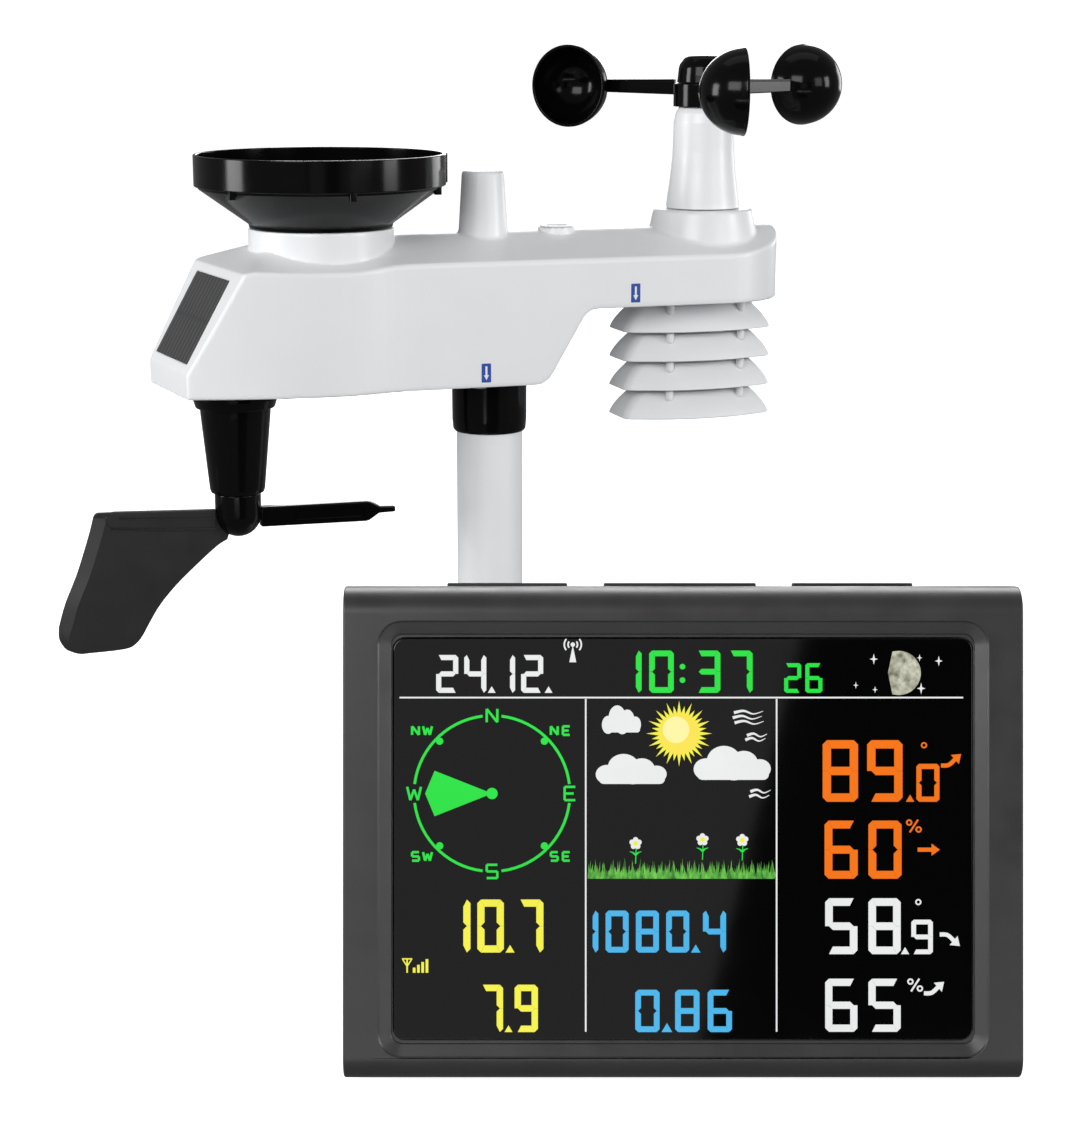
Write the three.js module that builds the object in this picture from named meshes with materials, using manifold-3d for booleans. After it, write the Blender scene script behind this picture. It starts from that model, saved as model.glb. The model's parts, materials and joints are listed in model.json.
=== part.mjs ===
// Home weather station: a sensor head on a white mast, with a free-standing console in front of it.
// Millimetres, +Z up. The origin is the centre of the mast foot's underside; +X runs to the right
// along the console, and +Y runs away from its screen.

import * as THREE from 'three';
import { mergeVertices } from 'three/addons/utils/BufferGeometryUtils.js';
import Module from 'manifold-3d';

const wasm = await Module();
wasm.setup();

// ---------------------------------------------------------------- driving dimensions

const GAP = 0.3;                 // clearance between pieces that meet

// Mast
const MAST_R = 14.6;
const MAST_BORE_R = 12.6;
const MAST_TOP = 195;
const FOOT_R = 55;
const FOOT_THICK = 5;
const FOOT_SOCKET_TOP = 46;
const FOOT_SCREW_RING_R = 43;

// Sensor head, in its own frame: x along the arm, z above the floor
const HEAD_YAW = 18;             // degrees, turned on the mast
const WALL = 2.5;
const HEAD_END_X = -143;
const END_SHEAR = 0.12;          // the end face is turned this much, as x over y
const HEAD_BOTTOM = 179;
const BAND_TOP = 189.5;          // top of the upright band under the solar face
const SLANT_TOP_X = -120;
const SLANT_TOP = 231;
const RIDGE = 242.4;
const ROOF_SLOPE = 0.334;
const ARM_BOTTOM = 211;
const ARM_HALF = 33.5;
const BULGE_HALF = 39;
const END_HALF = 25;
const NOTCH_LOW_X = 16.2;        // foot of the slant between the body and the arm
const NOTCH_HIGH_X = 35.2;
const BASE_THICK = 2.6;

// Rain gauge
const RAIN_X = -74.8;
const COLLAR_R = 31.1;
const COLLAR_BORE_R = 28.4;
const COLLAR_TOP = 246.4;
const RIM_R = 53.6;
const RIM_TOP = 277.6;
const RIM_BOTTOM = 264.2;
const BUCKET_PIVOT = 216;
const BUCKET_TIP = 13;           // degrees from level to either stop
const BUCKET_HALF_LENGTH = 22;
const BUCKET_HALF_WIDTH = 9.5;
const PIN_R = 1;

// Antenna post and bubble level
const ANTENNA_X = -2.5;
const ANTENNA_TOP = 269;
const LEVEL_X = 31.3;
const LEVEL_R = 6.85;
const LEVEL_TOP = 243.6;

// Wind speed: tower and cups
const TOWER_X = 100.5;
const TOWER_BASE = 250.8;
const TOWER_TOP = 294.9;
const HUB_BOTTOM = 295.3;
const HUB_R = 13.8;
const HUB_TOP = 318.4;
const CUP_LEVEL = 303.6;
const CUP_RADIUS = 18.3;
const CUP_DEPTH = 19.4;
const CUP_WALL = 1.2;
const CUP_ARM_RADIUS = 63;       // spindle to the middle of a cup
const CUP_PHASE = 14.5;          // degrees, first arm from the head's x axis
const CUP_MOUTH = 10;            // the arm's middle to the cup's mouth, along the way round
const SHAFT_R = 2.2;
const BEARING_R = 8;

// Wind direction: tower and vane
const VANE_X = -114.1;
const VANE_FLANGE_R = 18.2;
const VANE_TOWER_BOTTOM = 133.8;
const VANE_HUB_R = 9.95;
const VANE_HUB_TOP = 133.4;
const VANE_HUB_MID = 124;        // centre of the rounded underside
const VANE_TIP_X = -44.2;
const BLADE_THICK = 2.4;
const SPAR_THICK = 5;

// Radiation shield
const SHIELD_X = 95.1;
const SHIELD_PITCH = 13;
const SHIELD_TOP_EDGE = 197;     // lower edge of the first louvre
const LOUVRE_HEIGHT = 11.4;
const LOUVRE_HALF_X = 35.5;      // lower edge
const LOUVRE_MIDDLE = 20;        // half depth in the middle of the lower edge
const LOUVRE_CORNER = 11.5;      // half depth at its ends
const LOUVRE_SKIRT = [[0, 0], [4, 1.7], [8, 4.5], [LOUVRE_HEIGHT, 8]];  // height, drawn in
const LOUVRE_WALL = 1.6;
const LOUVRES = 4;
const AIRWAY_R = 9;
const ROD_PLACES = [[-12, -7], [12, -7], [12, 7], [-12, 7]];
const ROD_R = 2.2;
const PEG_PLACES = [[-14.5, -13.4], [20, -12.2], [20, 12.2], [-14.5, 13.4]];
const PEG_R = 2.1;

// Underside of the head
const DOOR_HINGE_X = -60;
const DOOR_END_X = -23;
const DOOR_HALF = 27;
const DOOR_THICK = 2.2;
const CELL_R = 7.1;
const CELL_LENGTH = 50;
const RESET_X = 50;
const RESET_Y = -14;

// Console, in its own frame: x along the screen, y from front to back, z up the screen
const CONSOLE_W = 215.4;
const CONSOLE_H = 156.6;
const CONSOLE_D = 27;
const CONSOLE_LEAN = 13;         // degrees back from upright
const CONSOLE_X = 67.4;
const CONSOLE_Y = -353.5;
const SPLIT_Y = 13;
const CASE_WALL = 2.4;
const ROLL = 9;                  // rounding of the top and bottom edges
const RECESS = { x: 96, low: 8.2, high: 145, depth: 1.8, corner: 7 };
const WINDOW = { x: 92, low: 13, high: 140.7, corner: 4 };
const BUTTON_SPANS = [[-75.2, -36.5], [-24.6, 24.4], [36.5, 74.9]];
const BUTTON_Y = [15.5, 21.5];
const BUTTON_PROUD = 1;
const FOOT_PAD = 0.8;
const LEG_HINGE = { y: 24, z: 84 };
const LEG_HALF = 30;
const LEG_FROM_UPRIGHT = 8;      // degrees, leg opened, measured from the vertical
const HATCH = { x0: 40, x1: 98, low: 16, high: 56 };

// ---------------------------------------------------------------- solids

const RAD = Math.PI / 180;

// A three.js geometry as a solid: one point for each corner, no flat triangles, faces pointing out.
function solid(geometry) {
  const bare = geometry.clone();
  bare.deleteAttribute('normal');
  bare.deleteAttribute('uv');
  const merged = mergeVertices(bare, 1e-4);
  const at = merged.attributes.position;
  const index = merged.index.array;
  const faces = [];
  let volume = 0;
  const corner = [new THREE.Vector3(), new THREE.Vector3(), new THREE.Vector3()];
  for (let i = 0; i < index.length; i += 3) {
    const [a, b, c] = [index[i], index[i + 1], index[i + 2]];
    if (a === b || b === c || c === a) continue;
    faces.push(a, b, c);
    corner.forEach((v, k) => v.fromBufferAttribute(at, index[i + k]));
    volume += corner[0].dot(corner[1].cross(corner[2]));
  }
  if (volume < 0) faces.reverse();
  return new wasm.Manifold(new wasm.Mesh({
    numProp: 3,
    vertProperties: new Float32Array(at.array),
    triVerts: new Uint32Array(faces),
  }));
}

const join = (...parts) => parts.reduce((all, part) => all.add(part));
const cut = (body, ...parts) => parts.reduce((left, part) => left.subtract(part), body);

// Box between two corners, given as ranges.
function box([x0, x1], [y0, y1], [z0, z1]) {
  const geometry = new THREE.BoxGeometry(x1 - x0, y1 - y0, z1 - z0);
  geometry.translate((x0 + x1) / 2, (y0 + y1) / 2, (z0 + z1) / 2);
  return solid(geometry);
}

// Upright round solid; a second radius makes it a cone towards the top.
function post(x, y, r, [z0, z1], rTop = r, sides = 20) {
  const geometry = new THREE.CylinderGeometry(rTop, r, z1 - z0, sides);
  geometry.rotateX(Math.PI / 2);
  geometry.translate(x, y, (z0 + z1) / 2);
  return solid(geometry);
}

// Round bar along x or y.
function bar(axis, r, [from, to], centre, sides = 16) {
  const geometry = new THREE.CylinderGeometry(r, r, to - from, sides);
  if (axis === 'x') {
    geometry.rotateZ(-Math.PI / 2);
    geometry.translate((from + to) / 2, centre[0], centre[1]);
  } else {
    geometry.translate(centre[0], (from + to) / 2, centre[1]);
  }
  return solid(geometry);
}

// Solid of revolution about an upright axis; the profile is [radius, height] pairs, closed.
function turned(profile, x = 0, y = 0, sides = 24) {
  const points = [...profile, profile[0]].map(([r, z]) => new THREE.Vector2(r, z));
  const geometry = new THREE.LatheGeometry(points, sides);
  geometry.rotateX(Math.PI / 2);
  geometry.translate(x, y, 0);
  return solid(geometry);
}

// Outline through corners of [a, b, setback]; a corner with a setback is rounded off from there.
function outline(corners, steps = 4) {
  const shape = new THREE.Shape();
  const towards = ([a, b], [c, d], setback) => {
    const length = Math.hypot(c - a, d - b);
    return [a + (c - a) * setback / length, b + (d - b) * setback / length];
  };
  corners.forEach((here, i) => {
    const before = corners[(i + corners.length - 1) % corners.length];
    const after = corners[(i + 1) % corners.length];
    const setback = here[2] ?? 0;
    const start = towards(here, before, setback);
    if (i === 0) shape.moveTo(...start);
    else shape.lineTo(...start);
    if (setback > 0) shape.quadraticCurveTo(here[0], here[1], ...towards(here, after, setback));
  });
  return distinct(shape.getPoints(steps));
}

// The points of an outline without repeats, running anticlockwise.
function distinct(points) {
  const kept = points.filter((p, i) => p.distanceTo(points[(i + 1) % points.length]) > 1e-6);
  return THREE.ShapeUtils.isClockWise(kept) ? kept.reverse() : kept;
}

// An anticlockwise outline moved inwards by a distance.
function inset(points, distance) {
  return points.map((p, i) => {
    const before = points[(i + points.length - 1) % points.length];
    const after = points[(i + 1) % points.length];
    const a = p.clone().sub(before).normalize();
    const b = after.clone().sub(p).normalize();
    const inward = new THREE.Vector2(-a.y - b.y, a.x + b.x);
    return p.clone().addScaledVector(inward, distance / (1 + a.dot(b)));
  });
}

// An outline in the named plane, drawn out along the third axis over a range.
function prism(points, plane, [from, to]) {
  const geometry = new THREE.ExtrudeGeometry(new THREE.Shape(points), {
    depth: to - from, bevelEnabled: false, steps: 1,
  });
  if (plane === 'xz') {
    geometry.rotateX(Math.PI / 2);
    geometry.translate(0, to, 0);
  } else if (plane === 'yz') {
    const axes = [[0, 1, 0], [0, 0, 1], [1, 0, 0]].map(axis => new THREE.Vector3(...axis));
    geometry.applyMatrix4(new THREE.Matrix4().makeBasis(...axes));
    geometry.translate(from, 0, 0);
  } else {
    geometry.translate(0, 0, from);
  }
  return solid(geometry);
}

// Rectangle outline with rounded corners, in any plane.
function rectangle([a0, a1], [b0, b1], radius = 0, steps = 4) {
  const corners = [[a0, b0], [a1, b0], [a1, b1], [a0, b1]];
  return outline(corners.map(corner => [...corner, radius]), steps);
}

// A skin through stacked rings with the same number of points, closed at both ends.
function loft(rings) {
  const count = rings[0].length;
  const points = rings.flat();
  const index = [];
  for (let k = 0; k + 1 < rings.length; k++) {
    for (let i = 0; i < count; i++) {
      const a = k * count + i;
      const b = k * count + (i + 1) % count;
      index.push(a, b, b + count, a, b + count, a + count);
    }
  }
  for (let i = 1; i + 1 < count; i++) {
    const top = (rings.length - 1) * count;
    index.push(0, i + 1, i);
    index.push(top, top + i, top + i + 1);
  }
  const geometry = new THREE.BufferGeometry().setFromPoints(points);
  geometry.setIndex(index);
  return solid(geometry);
}

// ---------------------------------------------------------------- finishes and nodes

const finish = (color, roughness, metalness = 0) =>
  new THREE.MeshStandardMaterial({ color, roughness, metalness });

const WHITE = finish(0xe2e5e7, 0.32);
const WHITE_MATT = finish(0xdfe2e4, 0.5);
const BLACK = finish(0x0c0c0d, 0.22);
const BLACK_MATT = finish(0x161617, 0.5);
const CHARCOAL = finish(0x323234, 0.42);
const TAIL_GREY = finish(0x2c2c2d, 0.45);
const SOLAR = finish(0x2a2d30, 0.25);
const LENS = finish(0x0a0a0c, 0.06);
const LCD = finish(0x15181a, 0.3);
const BOARD = finish(0x1d5a38, 0.5);
const STEEL = finish(0xb9bcc0, 0.3, 1);
const BRASS = finish(0xb38b4d, 0.35, 1);
const RUBBER = finish(0x1b1b1b, 0.85);
const CELL = finish(0x8c9196, 0.4, 0.5);
const IVORY = finish(0xe8e2cf, 0.35);
const FLUID = finish(0xb9d98a, 0.1);

const station = new THREE.Group();
const head = new THREE.Group();
const consoleUnit = new THREE.Group();

// Adds a solid to a group as a named mesh.
function piece(group, name, body, material) {
  const { vertProperties, triVerts } = body.getMesh();
  const geometry = new THREE.BufferGeometry();
  geometry.setAttribute('position', new THREE.BufferAttribute(new Float32Array(vertProperties), 3));
  geometry.setIndex(new THREE.BufferAttribute(new Uint32Array(triVerts), 1));
  geometry.computeVertexNormals();
  const mesh = new THREE.Mesh(geometry, material);
  mesh.name = name;
  group.add(mesh);
  return mesh;
}

// ---------------------------------------------------------------- mast

function ring(count, radius, phase = 0) {
  return Array.from({ length: count }, (_, i) => {
    const angle = phase + i * 2 * Math.PI / count;
    return [radius * Math.cos(angle), radius * Math.sin(angle)];
  });
}

function makeMast() {
  const plate = turned([
    [0, 0], [FOOT_R, 0], [FOOT_R, 3], [FOOT_R - 2, FOOT_THICK], [0, FOOT_THICK],
  ], 0, 0, 40);
  const socket = post(0, 0, 20, [1, FOOT_SOCKET_TOP], 18.5, 24);
  const ribs = [0, 45, 90, 135].map(angle => {
    const web = new THREE.ExtrudeGeometry(new THREE.Shape(outline([
      [-48, 2], [48, 2], [48, 6], [17, 36], [-17, 36], [-48, 6],
    ])), { depth: 3, bevelEnabled: false });
    web.translate(0, 0, -1.5);
    web.rotateX(Math.PI / 2);
    web.rotateZ((angle + 22.5) * RAD);
    return solid(web);
  });
  const bore = post(0, 0, MAST_R + GAP, [4, FOOT_SOCKET_TOP + 1], MAST_R + GAP + 0.2, 24);
  const holes = ring(4, FOOT_SCREW_RING_R).map(([x, y]) => post(x, y, 2.6, [-1, FOOT_THICK + 1], 2.6, 8));
  piece(station, 'mast_foot', cut(join(plate, socket, ...ribs), bore, ...holes), WHITE_MATT);

  const tube = turned([
    [MAST_BORE_R, 4.4], [MAST_R, 4.4], [MAST_R, MAST_TOP], [MAST_BORE_R, MAST_TOP],
  ], 0, 0, 32);
  piece(station, 'mast_tube', tube, WHITE);
}

// ---------------------------------------------------------------- head housing

const headCorners = [
  [HEAD_END_X, HEAD_BOTTOM, 1.5], [NOTCH_LOW_X, HEAD_BOTTOM, 7], [NOTCH_HIGH_X, ARM_BOTTOM, 6],
  [TOWER_X + ARM_HALF + 5, ARM_BOTTOM], [TOWER_X + ARM_HALF + 5, RIDGE + 5],
  [SLANT_TOP_X + (RIDGE + 5 - SLANT_TOP) / 0.44, RIDGE + 5], [SLANT_TOP_X, SLANT_TOP, 2],
  [HEAD_END_X, BAND_TOP, 1],
];
const headProfile = outline(headCorners);

const headPlan = (() => {
  const end = HEAD_END_X - 8;
  const shape = new THREE.Shape();
  shape.moveTo(end, -END_HALF);
  shape.bezierCurveTo(-122, -36.5, -100, -BULGE_HALF, RAIN_X, -BULGE_HALF);
  shape.bezierCurveTo(-60, -BULGE_HALF, -58, -ARM_HALF, -42, -ARM_HALF);
  shape.lineTo(TOWER_X, -ARM_HALF);
  shape.absarc(TOWER_X, 0, ARM_HALF, -Math.PI / 2, Math.PI / 2, false);
  shape.lineTo(-42, ARM_HALF);
  shape.bezierCurveTo(-58, ARM_HALF, -60, BULGE_HALF, RAIN_X, BULGE_HALF);
  shape.bezierCurveTo(-100, BULGE_HALF, -122, 36.5, end, END_HALF);
  return distinct(shape.getPoints(8));
})();

// The gabled roof, lowered by a distance, as a solid that reaches well below the head.
function roof(lowered) {
  const reach = BULGE_HALF + 6;
  const eave = RIDGE + 1.6 - lowered - reach * ROOF_SLOPE;
  return prism(outline([
    [-reach, HEAD_BOTTOM - 20], [reach, HEAD_BOTTOM - 20], [reach, eave],
    [0, RIDGE + 1.6 - lowered, 10], [-reach, eave],
  ], 3), 'yz', [HEAD_END_X - 5, TOWER_X + ARM_HALF + 10]);
}

const liftedProfile = (points, rise) => points.map(p => new THREE.Vector2(p.x, p.y + rise));

// A solid with the corners at its far left end moved along by the end face's turn.
const sheared = body => body.warp(corner => {
  if (corner[0] < RAIN_X) corner[0] -= END_SHEAR * corner[1];
});

function makeHousing() {
  const wide = [-BULGE_HALF - 5, BULGE_HALF + 5];
  const tall = [HEAD_BOTTOM - 5, RIDGE + 20];
  const outer = sheared(prism(headProfile, 'xz', wide))
    .intersect(prism(headPlan, 'xy', tall))
    .intersect(roof(0));

  const innerProfile = inset(outline(headCorners.map(([x, z]) => [x, z])), WALL);
  const innerPlan = prism(inset(headPlan, WALL), 'xy', [HEAD_BOTTOM - 10, RIDGE + 20]);
  const cavity = join(
    sheared(prism(innerProfile, 'xz', wide)),
    sheared(prism(liftedProfile(innerProfile, -6), 'xz', wide)),
  ).intersect(innerPlan).intersect(roof(WALL));

  const collar = post(RAIN_X, 0, COLLAR_R, [220, COLLAR_TOP], COLLAR_R, 32);
  const throat = post(RAIN_X, 0, COLLAR_BORE_R, [200, COLLAR_TOP + 1], COLLAR_BORE_R, 32);
  const antennaPost = turned([
    [0, 232], [12.6, 232], [12.6, 241.4], [10.6, 244.6], [9.1, ANTENNA_TOP - 1.4], [8, ANTENNA_TOP],
    [0, ANTENNA_TOP],
  ], ANTENNA_X, 0, 20);
  const antennaBore = post(ANTENNA_X, 0, 6.6, [220, ANTENNA_TOP - 3], 6.2, 12);
  const towerBase = turned([
    [0, 228], [25.6, 228], [25.6, 239.6], [22.6, 243.4], [20.6, 249.4], [19.6, TOWER_BASE - 0.4],
    [0, TOWER_BASE - 0.4],
  ], TOWER_X, 0, 24);
  const towerBore = post(TOWER_X, 0, 12, [220, TOWER_BASE + 1], 12, 16);
  const levelBoss = post(LEVEL_X, 0, LEVEL_R + 1.6, [236, 242.9], LEVEL_R + 1.2, 24);
  const levelSeat = post(LEVEL_X, 0, LEVEL_R - 0.6, [240.2, 244], LEVEL_R - 0.6, 24);

  // Room below the roof for the raised parts, so that none of them reaches into the cavity.
  const openInside = cavity.subtract(join(
    post(LEVEL_X, 0, LEVEL_R + 1.6, [238.2, 250], LEVEL_R + 1.6, 24),
  ));
  const solarSeat = solarPlate(0, 0.9, 0);
  const shell = cut(
    join(cut(outer, openInside), collar, antennaPost, towerBase, levelBoss)
      .subtract(openInside.intersect(box([HEAD_END_X - 10, 150], [-50, 50], [150, 226]))),
    throat, antennaBore, towerBore, levelSeat, solarSeat,
  );
  piece(head, 'housing_upper', shell, WHITE);
  piece(head, 'solar_panel', solarPlate(GAP, 0.6, GAP), SOLAR);
}

// A plate on the slanted face, a margin smaller all round than its seat.
function solarPlate(margin, thick, lift) {
  const run = new THREE.Vector2(SLANT_TOP_X - HEAD_END_X, SLANT_TOP - BAND_TOP);
  const length = run.length();
  const tilt = Math.atan2(run.x, run.y);
  const along = [4.6 + margin, length - 4.4 - margin];
  const across = 22.5 - margin;
  const plate = new THREE.ExtrudeGeometry(
    new THREE.Shape(rectangle(along, [-across, across], 0.8, 1)),
    { depth: thick + (lift === 0 ? 1 : 0), bevelEnabled: false },
  );
  plate.translate(0, 0, lift - 0.9);
  // The plate's first axis runs up the slant, its second across it, its third out of the face.
  const up = new THREE.Vector3(Math.sin(tilt), 0, Math.cos(tilt));
  const over = new THREE.Vector3(-END_SHEAR, 1, 0);
  const out = up.clone().cross(over).normalize();
  plate.applyMatrix4(new THREE.Matrix4().makeBasis(up, over, out));
  plate.translate(HEAD_END_X, 0, BAND_TOP);
  return solid(plate);
}

function makeBase() {
  const wide = [-BULGE_HALF, BULGE_HALF];
  const band = sheared(cut(
    prism(headProfile, 'xz', wide),
    prism(liftedProfile(headProfile, BASE_THICK), 'xz', wide),
  ))
    .intersect(prism(inset(headPlan, WALL + GAP), 'xy', [HEAD_BOTTOM - 5, ARM_BOTTOM + 10]));
  const socket = post(0, 0, 17.4, [HEAD_BOTTOM + 1, MAST_TOP + 3.4], 17.4, 24);
  const bore = post(0, 0, MAST_R + GAP, [HEAD_BOTTOM - 1, MAST_TOP + GAP], MAST_R + GAP + 0.2, 24);
  const doorway = box(
    [DOOR_HINGE_X - 1.4, DOOR_END_X + 0.4], [-DOOR_HALF - GAP, DOOR_HALF + GAP], [170, 190],
  );
  const drains = [-19, 19].map(y => post(RAIN_X, y, 2.6, [170, 190], 2.6, 12));
  const resetHole = post(RESET_X, RESET_Y, 2.8, [205, 220], 2.8, 16);
  const airHole = post(SHIELD_X, 0, AIRWAY_R, [205, 220], AIRWAY_R, 20);
  const rodHoles = ROD_PLACES.map(([x, y]) =>
    post(SHIELD_X + x, y, ROD_R + GAP, [205, 220], ROD_R + GAP, 8));
  const base = cut(join(band, socket), bore, doorway, ...drains, resetHole, airHole, ...rodHoles)
    .subtract(sheared(box([HEAD_END_X - 10, HEAD_END_X + WALL + GAP], wide, [170, 200])));
  piece(head, 'housing_base', base, WHITE_MATT);

  const doorLow = HEAD_BOTTOM + 0.2;
  const doorWide = [-DOOR_HALF, DOOR_HALF];
  const door = join(
    box([DOOR_HINGE_X, DOOR_END_X], doorWide, [doorLow, doorLow + DOOR_THICK]),
    bar('y', DOOR_THICK / 2, doorWide, [DOOR_HINGE_X, doorLow + DOOR_THICK / 2], 12),
  );
  const fingerNotch = bar('y', 3, [-8, 8], [DOOR_END_X + 1.6, HEAD_BOTTOM - 1.6], 16);
  piece(head, 'battery_door', cut(door, fingerNotch), WHITE_MATT);

  const tray = cut(
    box([-62, -21.5], [-29, 29], [181.9, 200]),
    box([-60.5, -23], [-27.5, 27.5], [180, 198.5]),
  );
  piece(head, 'battery_tray', tray, BLACK_MATT);
  [-50.2, -33.3].forEach((x, i) => {
    const z = 190;
    const half = CELL_LENGTH / 2;
    const cell = join(
      bar('y', CELL_R, [-half, half - 1.5], [x, z], 20),
      bar('y', 2.7, [half - 2, half], [x, z], 12),
    );
    piece(head, `sensor_cell_${i + 1}`, cell, CELL);
  });

  const reset = join(
    post(RESET_X, RESET_Y, 2.4, [ARM_BOTTOM - 0.8, ARM_BOTTOM + 4], 2.4, 16),
    post(RESET_X, RESET_Y, 3.6, [ARM_BOTTOM + BASE_THICK + GAP, ARM_BOTTOM + BASE_THICK + 1.4], 3.6, 16),
  );
  piece(head, 'reset_button', reset, BLACK_MATT);

  [[-136, 24], [-12, -26]].forEach(([x, y], i) => {
    const screw = post(x, y, 2.6, [HEAD_BOTTOM - 1.1, HEAD_BOTTOM - GAP], 3, 12);
    piece(head, `base_screw_${i + 1}`, screw, STEEL);
  });
}

function makeInside() {
  const rod = join(
    post(ANTENNA_X, 0, 3.6, [234, ANTENNA_TOP - 4], 3.6, 12),
    post(ANTENNA_X, 0, 5.6, [229.5, 234.5], 5.6, 16),
  );
  piece(head, 'antenna_coil', rod, BRASS);

  const board = cut(
    box([-12, 72], [-22, 22], [227.2, 228.8]),
    post(TOWER_X, 0, 10, [220, 235], 10, 16),
  );
  piece(head, 'sensor_board', board, BOARD);

  const probe = join(
    box([SHIELD_X - 7, SHIELD_X + 7], [-0.8, 0.8], [172, 226]),
    box([SHIELD_X - 4, SHIELD_X + 4], [-3, 3], [174, 180]),
  );
  piece(head, 'air_probe', probe, BOARD);

  const ringBody = turned([
    [LEVEL_R - 2.4, 240.6], [LEVEL_R - 0.9, 240.6], [LEVEL_R - 0.9, 243.2], [LEVEL_R, 243.2],
    [LEVEL_R, LEVEL_TOP], [LEVEL_R - 2.4, LEVEL_TOP],
  ], LEVEL_X, 0, 24);
  piece(head, 'level_ring', ringBody, IVORY);
  const vialR = LEVEL_R - 2.8;
  piece(head, 'level_vial', post(LEVEL_X, 0, vialR, [240.6, LEVEL_TOP - 0.3], vialR, 20), FLUID);
}

// ---------------------------------------------------------------- rain gauge

function makeRainGauge() {
  const bowl = turned([
    [4, 241.6], [5.4, 241.6], [5.4, 243.2], [26.6, 246.6], [26.6, 243.6], [28, 243.6], [28, 246.8],
    [31, 246.8], [31, 248.4], [51.8, 263.2], [51.8, RIM_BOTTOM], [RIM_R, RIM_BOTTOM], [RIM_R, RIM_TOP],
    [RIM_R - 1.5, RIM_TOP], [RIM_R - 1.5, 264.9], [30.2, 249.2], [4, 244.8],
  ], RAIN_X, 0, 32);
  const pegs = ring(6, 51.2, (17 - HEAD_YAW) * RAD - Math.PI / 2).map(([x, y]) =>
    post(RAIN_X + x, y, 1.3, [261.2, RIM_BOTTOM + 0.2], 1.3, 6));
  piece(head, 'rain_funnel', join(bowl, ...pegs), BLACK);

  const screen = turned([
    [7.6, 246.4], [9.2, 246.4], [9.2, 248], [5, 252], [0, 252.8], [0, 251.6], [4.4, 250.8], [7.6, 247.8],
  ], RAIN_X, 0, 16);
  const slots = ring(4, 6.6).map(([x, y]) => post(RAIN_X + x, y, 1.1, [240, 260], 1.1, 6));
  piece(head, 'debris_screen', cut(screen, ...slots), BLACK_MATT);

  const half = BUCKET_HALF_LENGTH;
  const wide = BUCKET_HALF_WIDTH;
  const end = BUCKET_PIVOT + 5;
  const hull = outline([
    [-half, end], [-2.4, BUCKET_PIVOT - 2.6], [2.4, BUCKET_PIVOT - 2.6], [half, end], [half, end + 3],
    [0.9, BUCKET_PIVOT + 19], [-0.9, BUCKET_PIVOT + 19], [-half, end + 3],
  ]);
  const pocket = side => outline([
    [side * (half + 2), end + 2.8], [side * 0.9, BUCKET_PIVOT + 2], [side * 0.9, BUCKET_PIVOT + 22],
    [side * (half + 2), BUCKET_PIVOT + 22],
  ]);
  const level = cut(
    prism(hull, 'yz', [RAIN_X - wide, RAIN_X + wide]),
    ...[-1, 1].map(side => prism(pocket(side), 'yz', [RAIN_X - wide + 1.2, RAIN_X + wide - 1.2])),
    bar('x', PIN_R + GAP, [RAIN_X - 20, RAIN_X + 20], [0, BUCKET_PIVOT], 10),
  );
  const bucket = piece(new THREE.Group(), 'tipping_bucket', level, BLACK_MATT);
  const pivot = new THREE.Group();
  bucket.geometry.translate(-RAIN_X, 0, -BUCKET_PIVOT);
  pivot.position.set(RAIN_X, 0, BUCKET_PIVOT);
  pivot.rotation.x = -BUCKET_TIP * RAD;
  pivot.add(bucket);
  head.add(pivot);

  const pin = bar('x', PIN_R, [RAIN_X - 14.5, RAIN_X + 14.5], [0, BUCKET_PIVOT], 10);
  piece(head, 'bucket_pin', pin, STEEL);

  const cheek = outline([
    [-9, 203], [9, 203], [4, BUCKET_PIVOT + 4, 3], [-4, BUCKET_PIVOT + 4, 3],
  ], 2);
  const cheeks = [RAIN_X - wide - 3.4, RAIN_X + wide + 1.4].map(x => prism(cheek, 'yz', [x, x + 2]));
  const spouts = [-19, 19].map(y => post(RAIN_X, y, 5, [181.9, 203], 5, 16));
  const outlets = [-19, 19].map(y => post(RAIN_X, y, 2.6, [181, 204], 3.9, 12));
  const frame = cut(
    join(box([RAIN_X - 14, RAIN_X + 14], [-27, 27], [201, 203.4]), ...cheeks, ...spouts),
    ...outlets,
    bar('x', PIN_R + GAP, [RAIN_X - 20, RAIN_X + 20], [0, BUCKET_PIVOT], 10),
  );
  piece(head, 'bucket_frame', frame, BLACK_MATT);
}

// ---------------------------------------------------------------- wind speed

function makeAnemometer() {
  const tower = turned([
    [5, TOWER_BASE], [16.7, TOWER_BASE], [16.1, 255.5], [14.5, 266], [13.6, 276], [13.5, 289.6],
    [12.2, 292.4], [11.4, TOWER_TOP], [BEARING_R + GAP, TOWER_TOP], [BEARING_R + GAP, 288.4], [5, 288.4],
  ], TOWER_X, 0, 24);
  piece(head, 'anemometer_tower', tower, WHITE);
  const bearing = turned([
    [SHAFT_R + GAP, 288.8], [BEARING_R, 288.8], [BEARING_R, 294.2], [SHAFT_R + GAP, 294.2],
  ], TOWER_X, 0, 16);
  piece(head, 'cup_bearing', bearing, STEEL);

  const spinner = new THREE.Group();
  spinner.position.set(TOWER_X, 0, 0);
  head.add(spinner);
  piece(spinner, 'cup_shaft', post(0, 0, SHAFT_R, [262, 300.4], SHAFT_R, 12), STEEL);
  const hub = turned([
    [SHAFT_R + GAP, HUB_BOTTOM], [HUB_R, HUB_BOTTOM], [HUB_R, 305.2], [12, 307.2], [11.5, 313.8],
    [10.2, 316.4], [6, 318], [0, HUB_TOP], [0, 301], [SHAFT_R + GAP, 301],
  ], 0, 0, 24);
  piece(spinner, 'cup_hub', hub, BLACK);

  for (let i = 0; i < 3; i++) {
    piece(spinner, `wind_cup_${i + 1}`, windCup(CUP_PHASE + 120 * i), BLACK);
  }
}

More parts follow.
